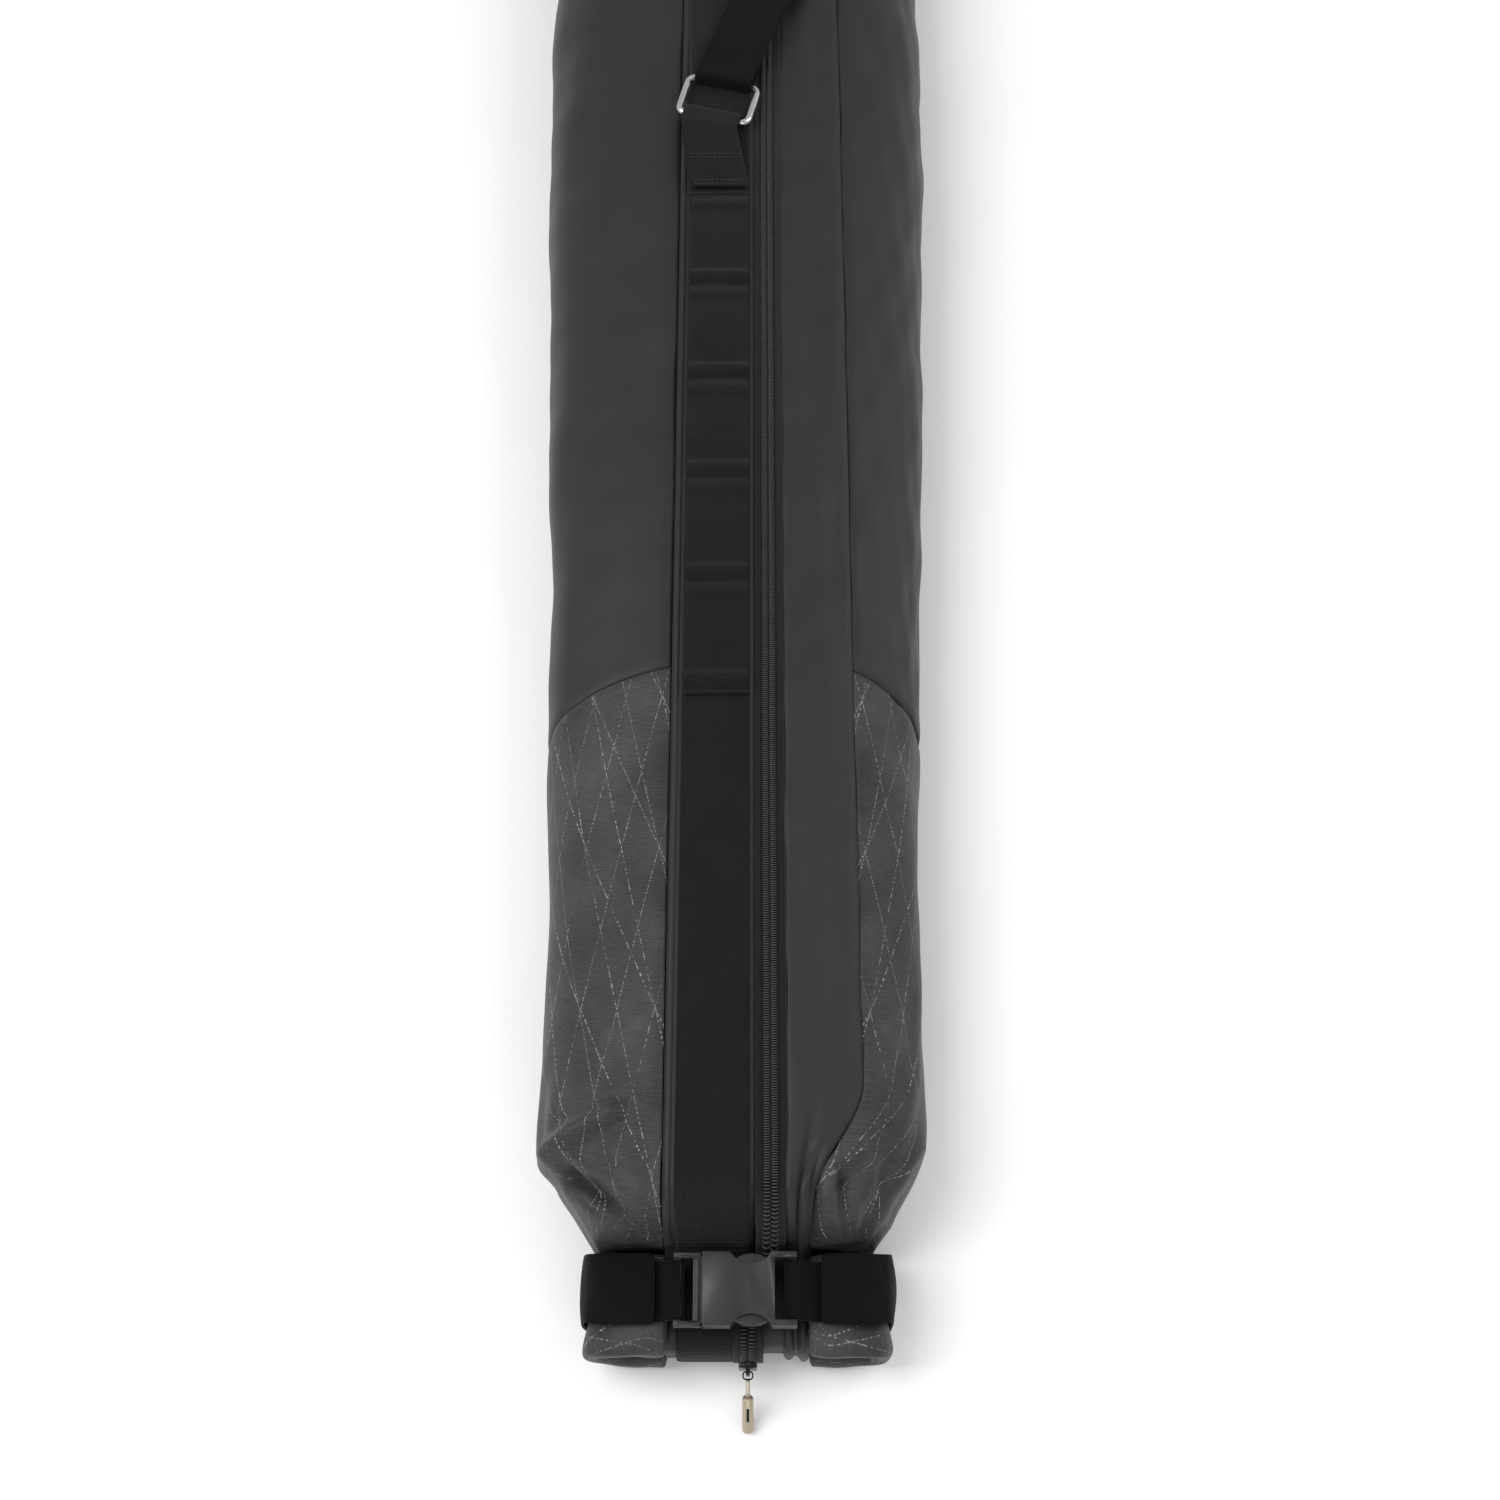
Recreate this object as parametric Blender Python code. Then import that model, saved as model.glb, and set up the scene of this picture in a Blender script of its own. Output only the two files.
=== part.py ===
"""Padded roll-top ski bag, lying on its back, zip and webbing up.

X runs across the bag, Y from the rolled end to the far end, Z up from the floor.
The origin is under the middle of the whole object. Distances called s are measured
along the bag from the rolled end's face. Metres throughout.
"""
import math

import bpy
import bmesh
import numpy as np

# --- overall size of the stuffed bag, rolled shut ---
BAG_LENGTH = 1.860          # rolled end's face to far end
LOW_WIDTH = 0.269           # just above the roll
BAG_WIDTH = 0.336           # widest, where the boots lie
TOP_WIDTH = 0.292           # where the far end starts to round off
LOW_DEPTH = 0.122
BAG_DEPTH = 0.150
TOP_DEPTH = 0.130
WIDEST_S = 1.250            # place of BAG_WIDTH and BAG_DEPTH
CAP_LENGTH = 0.070          # rounded far end
GATHER_S = 0.125            # the shell starts to narrow towards the roll here
BULGE_S = 0.100             # the front starts to drop towards the roll here
SECTION_POWER = 2.7         # superellipse power of the cross-section
FLAT_SINK = 0.008           # how much of the section the floor presses flat
WALL = 0.0035               # fabric with its foam
GAP = 0.0005                # clearance between neighbouring pieces
SEAM_GAP = 0.0010           # clearance between panels that meet at a seam
PADDING_SHARE = 0.50        # back padding's width as a share of the bag's
BACK_SEAM_SHARE = 0.36      # back seam's height as a share of the depth
LAMINATE_S = 0.484          # seam between laminate and smooth panels, at the front
LAMINATE_SLANT = 0.045      # how much lower that seam is at the side

# --- the front band ---
WEB_X = -0.0130
WEB_WIDTH = 0.050
LEFT_SEAM_X = WEB_X - WEB_WIDTH / 2 - 0.0090
RIGHT_SEAM_X = 0.0900
RIGHT_SEAM_ROLL_X = 0.0540  # the right seam closes in to here at the roll
WEB_THICK = 0.0022
PIPING_WIDTH = 0.0055
PIPING_THICK = 0.0030
ZIP_X = WEB_X + WEB_WIDTH / 2 + 0.0143              # middle of the closed coil
COIL_WIDTH = 0.0104         # both coils together, a size 10 coil zip
COIL_THICK = 0.0028
TAPE_WIDTH = 0.0100         # each side, from the zip's middle
TAPE_THICK = 0.0010
ZIP_DRIFT = -0.0155         # the zip wanders left as it goes over the roll
TACK_PITCH = 0.0918
TACK_COUNT = 6
FIRST_TACK_S = 0.4620
LOOP_BULGE = 0.0030
END_STOP_TO_CAP = 0.030
END_STOP_LENGTH = 0.006

# --- roll and closure ---
BUCKLE_WIDTH = 0.0490
ROLL_DEPTH = BUCKLE_WIDTH + 0.0130          # along the bag
ROLL_HEIGHT = 0.048
ROLL_CLEAR = 0.004          # room under the roll for the tabs
ROLL_X = 0.004
ROLL_LENGTH = 0.203
ROLL_ROUND = 0.015
ROLL_END_LENGTH = 0.0460
ROLL_END_HEIGHT = 0.0175
MOUTH_WIDTH = 0.194
STIFFENER_WIDTH = 0.026
STIFFENER_THICK = 0.0020
STIFFENER_LENGTH = 0.170
TAB_WIDTH = 0.0450
TAB_THICK = 0.0022
TAB_S = ROLL_DEPTH / 2 + 0.0050
STRAP_WIDTH = 0.0400        # buckle straps
STRAP_THICK = 0.0016

# --- side-release buckle ---
BUCKLE_S = ROLL_DEPTH / 2 + 0.0035
BUCKLE_MOUTH_X = -0.0200
FEMALE_LENGTH = 0.0640
FEMALE_WALL = 0.0025
MOUTH_WALL = 0.0021
SCALLOP_DEPTH = 0.0080
SCALLOP_START = 0.0190
SCALLOP_END = 0.0470
BUCKLE_BAR = 0.0060
MALE_LENGTH = 0.0195
MALE_HEIGHT = 0.0066
MALE_CLEAR = 0.0008         # above the tab, so the frame can slide over it
RAIL_WIDTH = 0.0037
GUIDE_LENGTH = 0.0040
PRONG_PIVOT_X = 0.0075
PRONG_PIVOT_Y = 0.0165
PRONG_ROOT_R = 0.0030
PRONG_HEIGHT = 0.0084
PRONG_REACH = 0.0445

# --- zip slider and its pull ---
SLIDER_WIDTH = 0.0125
SLIDER_LENGTH = 0.0170
SLIDER_THICK = 0.0032
SLIDER_Z = 0.0330
BRIDGE_WIDTH = 0.0028
BRIDGE_SPAN = 0.0100
BRIDGE_RISE = 0.0042
BRIDGE_BAR = 0.0016
PULL_WIRE = 0.0013
PULL_LOOP_WIDTH = 0.0066
PULL_LOOP_LENGTH = 0.0070
STEM_LENGTH = 0.0120
STEM_DIAMETER = 0.0032
BARREL_LENGTH = 0.0265
BARREL_DIAMETER = 0.0078
FLOOR_CLEAR = 0.0002

# --- rings and carrying strap ---
RING_LOWER_S = 1.0200
RING_TO_END = 0.1700        # upper ring to the far end
RING_X = -0.0150
RING_INNER_WIDTH = WEB_WIDTH + 0.0045
RING_INNER_LENGTH = 0.0340
RING_BAR = 0.0066
RING_CORNER = 0.0065
RING_TURN_DEG = 14.0        # the rings follow the strap's pull
PLY_THICK = 0.0016          # tab and strap webbing
TAB_TAIL = 0.0560
STRAP_TAIL = 0.0450
RING_PLAY = 0.0045          # free height over each ring bar in the strap's loop
RING_CLEAR = 0.0008         # clearance round a ring bar
STRAP_LEAVE_DEG = 19.0
PAD_X = 0.0480
PAD_LENGTH = 0.2400
PAD_WIDTH = WEB_WIDTH + 0.0160
PAD_THICK = 0.0110
PAD_TRAVEL = 0.0200
PAD_RISE = 0.0115           # strap's middle above the bag's front at the pad
ADJUSTER_WIDTH = WEB_WIDTH + 0.0120
ADJUSTER_LENGTH = 0.0300
ADJUSTER_THICK = 0.0030
ADJUSTER_CLEAR = 0.0012

# --- sizes that follow from the ones above ---
ZIP_LIFT = 2 * GAP + WEB_THICK + TAPE_THICK     # the zip lies on the webbing's edge over the roll
ROLL_TOP = ROLL_CLEAR + ROLL_HEIGHT
MOUTH_S = ROLL_DEPTH + 0.0045
MOUTH_DEPTH = ROLL_TOP + 0.0010
CAP_S = BAG_LENGTH - CAP_LENGTH
END_STOP_S = CAP_S - END_STOP_TO_CAP
SLIDER_FACE_OUT = ZIP_LIFT + 2 * GAP + COIL_THICK
LUG_OUT = SLIDER_FACE_OUT + SLIDER_THICK + (BRIDGE_RISE - BRIDGE_BAR) / 2
LUG_Z = SLIDER_Z - BRIDGE_SPAN / 2 + BRIDGE_BAR + PULL_WIRE / 2 + GAP
PULL_LENGTH = PULL_LOOP_LENGTH - PULL_WIRE / 2 + GAP + STEM_LENGTH + BARREL_LENGTH
# the pull leans out from straight down until its barrel lies on the floor
PULL_LEAN = (math.atan2(BARREL_DIAMETER / 2, PULL_LENGTH)
             + math.acos((LUG_Z - FLOOR_CLEAR) / math.hypot(BARREL_DIAMETER / 2, PULL_LENGTH)))
PULL_REACH = LUG_OUT + PULL_LENGTH * math.sin(PULL_LEAN) + BARREL_DIAMETER / 2 * math.cos(PULL_LEAN)
ROLL_Y = (PULL_REACH - BAG_LENGTH) / 2

SHELL_STATIONS = np.array([
    MOUTH_S, 0.0685, 0.0715, 0.076, 0.082, 0.090, BULGE_S, 0.112, GATHER_S, 0.145, 0.18, 0.24, 0.32, 0.40,
    LAMINATE_S])
# only the stations clear of the mouth are kept
SHELL_STATIONS = SHELL_STATIONS[(SHELL_STATIONS == MOUTH_S) | (SHELL_STATIONS > MOUTH_S + 0.0010)]
ROUND_STEPS = 8


def ease(value, low, high):
    """Smooth step from 0 at low to 1 at high."""
    share = np.clip((np.asarray(value, float) - low) / (high - low), 0, 1)
    return share * share * (3 - 2 * share)


def mix(a, b, share):
    return a + (b - a) * share


def shell_size(s):
    """Half-width and depth of the stuffed shell at s."""
    s = np.asarray(s, float)
    up, past = ease(s, GATHER_S, WIDEST_S), ease(s, WIDEST_S, CAP_S)
    width = mix(mix(LOW_WIDTH, BAG_WIDTH, up), TOP_WIDTH, past)
    depth = mix(mix(LOW_DEPTH, BAG_DEPTH, up), TOP_DEPTH, past)
    narrowing = 1 - ease(s, MOUTH_S - 0.02, GATHER_S + 0.01)
    width = mix(width, MOUTH_WIDTH, narrowing)
    drop = np.clip((BULGE_S - s) / (BULGE_S - MOUTH_S), 0, 1)
    depth = mix(MOUTH_DEPTH, depth, np.sqrt(1 - drop ** 2))
    return width / 2, depth


def section(s):
    """Half-width, centre height and half-height of the superellipse at s."""
    half, depth = shell_size(s)
    rise = (depth + FLAT_SINK) / 2
    return half, depth - rise, rise


def front_height(x, s):
    half, centre, rise = section(s)
    return centre + rise * (1 - np.abs(x / half) ** SECTION_POWER) ** (1 / SECTION_POWER)


def section_point(s, angle, inset=0.0):
    """Point of the section at s and angle, moved inwards by inset and pressed flat by the floor."""
    half, centre, rise = section(s)
    cos, sin = np.cos(angle), np.sin(angle)
    x = np.sign(cos) * np.abs(cos) ** (2 / SECTION_POWER)
    z = np.sign(sin) * np.abs(sin) ** (2 / SECTION_POWER)
    normal_x = np.sign(x) * np.abs(x) ** (SECTION_POWER - 1) / half
    normal_z = np.sign(z) * np.abs(z) ** (SECTION_POWER - 1) / rise
    size = np.hypot(normal_x, normal_z)
    x = half * x - inset * normal_x / size
    z = centre + rise * z - inset * normal_z / size
    return np.stack([x, ROLL_Y + s + 0 * x, np.maximum(z, inset)], axis=-1)


def right_seam_x(s):
    return mix(RIGHT_SEAM_ROLL_X, RIGHT_SEAM_X, ease(s, 0.080, 0.170))


# --- making meshes ---

def make_material(name, colour, roughness, metallic=0.0):
    material = bpy.data.materials.new(name)
    material.use_nodes = True
    shader = material.node_tree.nodes["Principled BSDF"]
    shader.inputs["Base Color"].default_value = (*colour, 1)
    shader.inputs["Roughness"].default_value = roughness
    shader.inputs["Metallic"].default_value = metallic
    return material


def add_object(name, data, material):
    item = bpy.data.objects.new(name, data)
    bpy.context.scene.collection.objects.link(item)
    if material:
        item.data.materials.append(material)
    return item


def mesh_object(name, points, faces, material):
    mesh = bpy.data.meshes.new(name)
    mesh.from_pydata([tuple(map(float, p)) for p in points], [], faces)
    work = bmesh.new()
    work.from_mesh(mesh)
    bmesh.ops.recalc_face_normals(work, faces=work.faces)
    work.to_mesh(mesh)
    work.free()
    return add_object(name, mesh, material)


def slab(name, outer, inner, material):
    """Closed solid between two grids of points, each rows x columns x 3."""
    rows, cols = outer.shape[:2]
    points = np.concatenate([outer.reshape(-1, 3), inner.reshape(-1, 3)])
    under = rows * cols
    faces = []
    for i in range(rows - 1):
        for j in range(cols - 1):
            a, b, c, d = i * cols + j, i * cols + j + 1, (i + 1) * cols + j + 1, (i + 1) * cols + j
            faces += [(a, b, c, d), (a + under, d + under, c + under, b + under)]
    rim = [i * cols for i in range(rows)] + [(rows - 1) * cols + j for j in range(1, cols)]
    rim += [i * cols + cols - 1 for i in range(rows - 2, -1, -1)] + list(range(cols - 2, 0, -1))
    for a, b in zip(rim, rim[1:] + rim[:1]):
        faces.append((a, b, b + under, a + under))
    return mesh_object(name, points, faces, material)


def prism(name, outline, low, high, material, axis="Z"):
    """Outline of 2-D points extruded from low to high along an axis."""
    count = len(outline)
    order = {"Z": lambda a, b, h: (a, b, h), "X": lambda a, b, h: (h, a, b)}[axis]
    points = [order(a, b, low) for a, b in outline] + [order(a, b, high) for a, b in outline]
    faces = [tuple(range(count)), tuple(range(2 * count - 1, count - 1, -1))]
    for i in range(count):
        j = (i + 1) % count
        faces.append((i, j, j + count, i + count))
    return mesh_object(name, points, faces, material)


def tube_prism(name, outer, inner, low, high, material, axis="X"):
    """Prism with a hole: outer and inner outlines have the same number of points."""
    count = len(outer)
    order = {"Z": lambda a, b, h: (a, b, h), "X": lambda a, b, h: (h, a, b)}[axis]
    points = [order(a, b, h) for h in (low, high) for loop in (outer, inner) for a, b in loop]
    faces = []
    for i in range(count):
        j = (i + 1) % count
        faces += [(i, j, j + count, i + count), (i + 2 * count, i + 3 * count, j + 3 * count, j + 2 * count)]
        faces += [(i, i + 2 * count, j + 2 * count, j), (i + count, j + count, j + 3 * count, i + 3 * count)]
    return mesh_object(name, points, faces, material)


def box(name, low, high, material=None):
    outline = [(low[0], low[1]), (high[0], low[1]), (high[0], high[1]), (low[0], high[1])]
    return prism(name, outline, low[2], high[2], material)


def rounded_outline(low, high, radius, steps=3):
    """Rectangle from low to high with round corners."""
    points = []
    corners = [(high[0], high[1], 0), (low[0], high[1], 90), (low[0], low[1], 180), (high[0], low[1], 270)]
    for x, y, start in corners:
        cx = x - radius if x == high[0] else x + radius
        cy = y - radius if y == high[1] else y + radius
        for k in range(steps + 1):
            angle = math.radians(start + 90 * k / steps)
            points.append((cx + radius * math.cos(angle), cy + radius * math.sin(angle)))
    return points


def boolean(item, tool, operation="DIFFERENCE"):
    change = item.modifiers.new(operation.lower(), "BOOLEAN")
    change.operation = operation
    change.object = tool
    tool.hide_render = True
    tool.display_type = "WIRE"


def ribbon(name, path, across, width, thickness, material):
    """Flat strip of webbing along path, its width along the unit vector across."""
    path, across = np.asarray(path, float), np.asarray(across, float)
    tangent = np.gradient(path, axis=0)
    normal = np.cross(tangent, np.broadcast_to(across, path.shape))
    normal /= np.linalg.norm(normal, axis=1)[:, None]
    side = np.cross(normal, tangent)
    side /= np.linalg.norm(side, axis=1)[:, None]
    edges = [path - side * width / 2, path + side * width / 2]
    outer = np.stack([edge + normal * thickness / 2 for edge in edges], axis=1)
    inner = np.stack([edge - normal * thickness / 2 for edge in edges], axis=1)
    return slab(name, outer, inner, material)


def wire(name, points, diameter, material, cyclic=False, sides=2):
    """Round bar along a poly line."""
    curve = bpy.data.curves.new(name, "CURVE")
    curve.dimensions = "3D"
    curve.bevel_depth = diameter / 2
    curve.bevel_resolution = sides
    curve.use_fill_caps = not cyclic
    line = curve.splines.new("POLY")
    line.points.add(len(points) - 1)
    for point, place in zip(line.points, points):
        point.co = (*place, 1)
    line.use_cyclic_u = cyclic
    return add_object(name, curve, material)


def pivot(name, place, child, turn_z=0.0):
    """Empty on a joint's axis that carries a moving piece."""
    empty = bpy.data.objects.new(name, None)
    bpy.context.scene.collection.objects.link(empty)
    empty.location = place
    empty.rotation_euler = (0, 0, turn_z)
    child.parent = empty
    return empty


# --- shell ---

def seam_angle(s, x):
    half = section(s)[0]
    return np.arccos((abs(x) / half) ** (SECTION_POWER / 2))


def back_seam_angle(s, shift=0.0):
    depth = shell_size(s)[1]
    centre, rise = section(s)[1:]
    share = (BACK_SEAM_SHARE * depth + shift - centre) / rise
    return np.sign(share) * np.arcsin(np.abs(share) ** (SECTION_POWER / 2))


def side_panel(name, side, stations, slant, material, columns=8):
    """Strip of shell from a front seam round the side to the back seam.

    side is -1 on the left and 1 on the right; slant(s, u) moves a point along the bag,
    with u running from 0 at the front seam to 1 at the back seam.
    """
    grids = []
    for inset in (0.0, WALL):
        rows = []
        for s_row in stations:
            row = []
            for u in np.linspace(0, 1, columns + 1):
                s = s_row + slant(s_row, u)
                seam = (LEFT_SEAM_X - SEAM_GAP / 2) if side < 0 else (right_seam_x(s) + SEAM_GAP / 2)
                front, back = seam_angle(s, seam), back_seam_angle(s, SEAM_GAP / 2)
                point = section_point(s, mix(front, back, u), inset)
                if u == 0 and inset:
                    point = section_point(s, front) - np.array([0, 0, inset])
                    point[0] = seam * side
                row.append(point * (side, 1, 1))
            rows.append(row)
        grids.append(np.array(rows))
    return slab(name, grids[0], grids[1], material)


def upper_stations():
    return np.append(np.linspace(LAMINATE_S, END_STOP_S, 13), CAP_S)


def build_shell(laminate, smooth, back):
    low = SHELL_STATIONS.copy()
    low[-1] -= SEAM_GAP / 2
    high = upper_stations()
    high[0] += SEAM_GAP / 2
    high[-1] -= SEAM_GAP / 2

    def slant_low(s, u):
        return -LAMINATE_SLANT * u * ease(s, 0.18, LAMINATE_S)

    def slant_high(s, u):
        return -LAMINATE_SLANT * u * (1 - ease(s, LAMINATE_S, LAMINATE_S + 0.25))

    for side, word in ((-1, "left"), (1, "right")):
        side_panel(f"{word}_lower_panel", side, low, slant_low, laminate)
        side_panel(f"{word}_upper_panel", side, high, slant_high, smooth)

    stations = np.concatenate([SHELL_STATIONS[:-1], high[1:]])
    grids = []
    for inset in (0.0, WALL):
        rows = []
        for s in stations:
            edge = back_seam_angle(s, -SEAM_GAP / 2)
            angles = np.linspace(edge, -math.pi - edge, 15)
            rows.append(section_point(s, angles, inset))
        grids.append(np.array(rows))
    slab("back_panel", grids[0], grids[1], back)


def build_far_end(material):
    """Rounded end: section rings that shrink to a point, outside and inside."""
    around, rings = 28, 6
    angles = np.linspace(0, 2 * math.pi, around, endpoint=False)
    points, faces = [], []
    for inset in (0.0, WALL):
        half, centre, rise = section(CAP_S)
        for k in range(rings):
            turn = math.pi / 2 * k / rings
            s = CAP_S + SEAM_GAP / 2 + (CAP_LENGTH - SEAM_GAP / 2 - inset) * math.sin(turn)
            shrink = math.cos(turn) ** 0.7
            ring = section_point(np.full(around, CAP_S), angles, inset)
            ring[:, 0] *= shrink
            ring[:, 2] = centre + (ring[:, 2] - centre) * shrink
            ring[:, 1] = ROLL_Y + s
            points += list(ring)
        points.append((0, ROLL_Y + BAG_LENGTH - inset, centre))
    layer = around * rings + 1
    for base in (0, layer):
        for k in range(rings - 1):
            for i in range(around):
                j = (i + 1) % around
                a, b = base + k * around, base + (k + 1) * around
                faces.append((a + i, a + j, b + j, b + i))
        last, tip = base + (rings - 1) * around, base + around * rings
        faces += [(last + i, last + (i + 1) % around, tip) for i in range(around)]
    faces += [(i, (i + 1) % around, layer + (i + 1) % around, layer + i) for i in range(around)]
    mesh_object("far_end_panel", points, faces, material)


def build_back_padding(material):
    inset, thick = WALL + 0.0015, 0.005
    stations = np.linspace(GATHER_S + 0.02, CAP_S - 0.05, 12)
    outer, inner = [], []
    for s in stations:
        x = np.linspace(-1, 1, 7) * PADDING_SHARE * section(s)[0]
        base = np.stack([x, ROLL_Y + s + 0 * x, inset + 0 * x], axis=-1)
        outer.append(base + np.array([0, 0, thick]))
        inner.append(base)
    slab("back_padding", np.array(outer), np.array(inner), material)


# --- strips along the front ---

def roll_path():
    """Distance s and height of the base path over the roll, from the mouth to the end face's foot."""
    points = [(ROLL_DEPTH - 0.006, ROLL_TOP), (0.038, ROLL_TOP), (ROLL_ROUND + 0.006, ROLL_TOP)]
    for k in range(5):
        angle = math.radians(90 + 90 * k / 4)
        centre = (ROLL_ROUND, ROLL_TOP - ROLL_ROUND)
        points.append((centre[0] + ROLL_ROUND * math.cos(angle), centre[1] + ROLL_ROUND * math.sin(angle)))
    points += [(0, 0.027), (0, ROLL_CLEAR + ROLL_ROUND)]
    return np.array(points)


def front_stations(s_from, s_to):
    every = np.concatenate([SHELL_STATIONS, upper_stations()[1:]])
    inside = every[(every > s_to + 1e-4) & (every < s_from - 1e-4)]
    return np.concatenate([[s_from], inside[::-1], [s_to]])


def front_strip(name, left, right, low, high, s_from, s_to, material, columns=2, stations=None):
    """Strip that lies along the front from s_from down to s_to, or over the roll if s_to is None.

    left, right, low and high are numbers, or functions of (s, roll, raised) that give the strip's edges
    and the heights of its under and upper side; roll goes from 0 at the mouth to 1 on the end face, and
    raised from 0 on the front to 1 at the mouth.
    """
    shell = front_stations(s_from, MOUTH_S if s_to is None else s_to) if stations is None else stations
    tail = roll_path() if s_to is None else np.zeros((0, 2))
    s_all = np.concatenate([shell, tail[:, 0]])
    roll = np.concatenate([0 * shell, ease(-tail[:, 0], -ROLL_DEPTH, -ROLL_ROUND)])
    raised = np.concatenate([1 - ease(shell, MOUTH_S, BULGE_S), 1 + 0 * tail[:, 0]])

    def value(item):
        return item(s_all, roll, raised) if callable(item) else np.full(len(s_all), float(item))

    x_left, x_right, under, over = value(left), value(right), value(low), value(high)
    outer, inner = [], []
    for share in np.linspace(0, 1, columns + 1):
        x = mix(x_left, x_right, share)
        z = np.concatenate([front_height(x[:len(shell)], shell), tail[:, 1]])
        slope_s, slope_z = np.gradient(s_all), np.gradient(z)
        size = np.hypot(slope_s, slope_z)
        out_s, out_z = slope_z / size, -slope_s / size
        for grid, rise in ((outer, over), (inner, under)):
            grid.append(np.stack([x, ROLL_Y + s_all + out_s * rise, z + out_z * rise], axis=-1))
    swap = (1, 0, 2)
    return slab(name, np.array(outer).transpose(swap), np.array(inner).transpose(swap), material)


def zip_edge(offset):
    """Edge of a zip piece: a fixed distance from the zip's middle, which drifts on the roll."""
    return lambda s, roll, raised: ZIP_X + offset + ZIP_DRIFT * roll


def zip_height(rise):
    return lambda s, roll, raised: rise + ZIP_LIFT * raised


def build_front(smooth, webbing, tape, coil, metal):
    top = CAP_S - SEAM_GAP / 2
    web_left, web_right = WEB_X - WEB_WIDTH / 2, WEB_X + WEB_WIDTH / 2
    backing_right = ZIP_X - TAPE_WIDTH - SEAM_GAP - 0.0008
    front_strip("webbing_backing", LEFT_SEAM_X + SEAM_GAP / 2, backing_right, -WALL, 0, top, MOUTH_S, smooth, 3)
    front_strip("zip_side_band", ZIP_X + TAPE_WIDTH + SEAM_GAP,
                lambda s, roll, raised: right_seam_x(s) - SEAM_GAP / 2, -WALL, 0, top, MOUTH_S, smooth, 4)
    front_strip("front_webbing", web_left, web_right, GAP, GAP + WEB_THICK, top, None, webbing, 3)
    front_strip("seam_piping", LEFT_SEAM_X + SEAM_GAP, LEFT_SEAM_X + SEAM_GAP + PIPING_WIDTH,
                GAP, GAP + PIPING_THICK, top, MOUTH_S + 0.004, smooth, 1)
    half_gap = GAP / 2
    tape_low = -TAPE_THICK
    front_strip("zip_tape_left", zip_edge(-TAPE_WIDTH), zip_edge(-half_gap), zip_height(tape_low),
                zip_height(0.0), top, None, tape, 1)
    front_strip("zip_tape_right", zip_edge(half_gap), zip_edge(TAPE_WIDTH), zip_height(tape_low),
                zip_height(0.0), top, None, tape, 1)
    for word, left, right in (("left", -COIL_WIDTH / 2, -half_gap), ("right", half_gap, COIL_WIDTH / 2)):
        front_strip(f"zip_coil_{word}", zip_edge(left), zip_edge(right), zip_height(GAP),
                    zip_height(GAP + COIL_THICK), END_STOP_S, None, coil, 1)
    front_strip("zip_end_stop", ZIP_X - COIL_WIDTH / 2 - 0.001, ZIP_X + COIL_WIDTH / 2 + 0.001,
                GAP, GAP + COIL_THICK, END_STOP_S + END_STOP_LENGTH, END_STOP_S + GAP, metal, 1)

    last_tack = FIRST_TACK_S + TACK_PITCH * (TACK_COUNT - 1)
    stations = np.linspace(last_tack, FIRST_TACK_S, 4 * (TACK_COUNT - 1) + 1)
    base = 2 * GAP + WEB_THICK

    def bulge(s):
        return LOOP_BULGE * np.sin(math.pi * (s - FIRST_TACK_S) / TACK_PITCH) ** 2

    front_strip("daisy_webbing", web_left + 0.001, web_right - 0.001, lambda s, roll, raised: base + bulge(s),
                lambda s, roll, raised: base + PLY_THICK + bulge(s), last_tack, FIRST_TACK_S, webbing, 3, stations)


# --- roll closure ---

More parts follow.
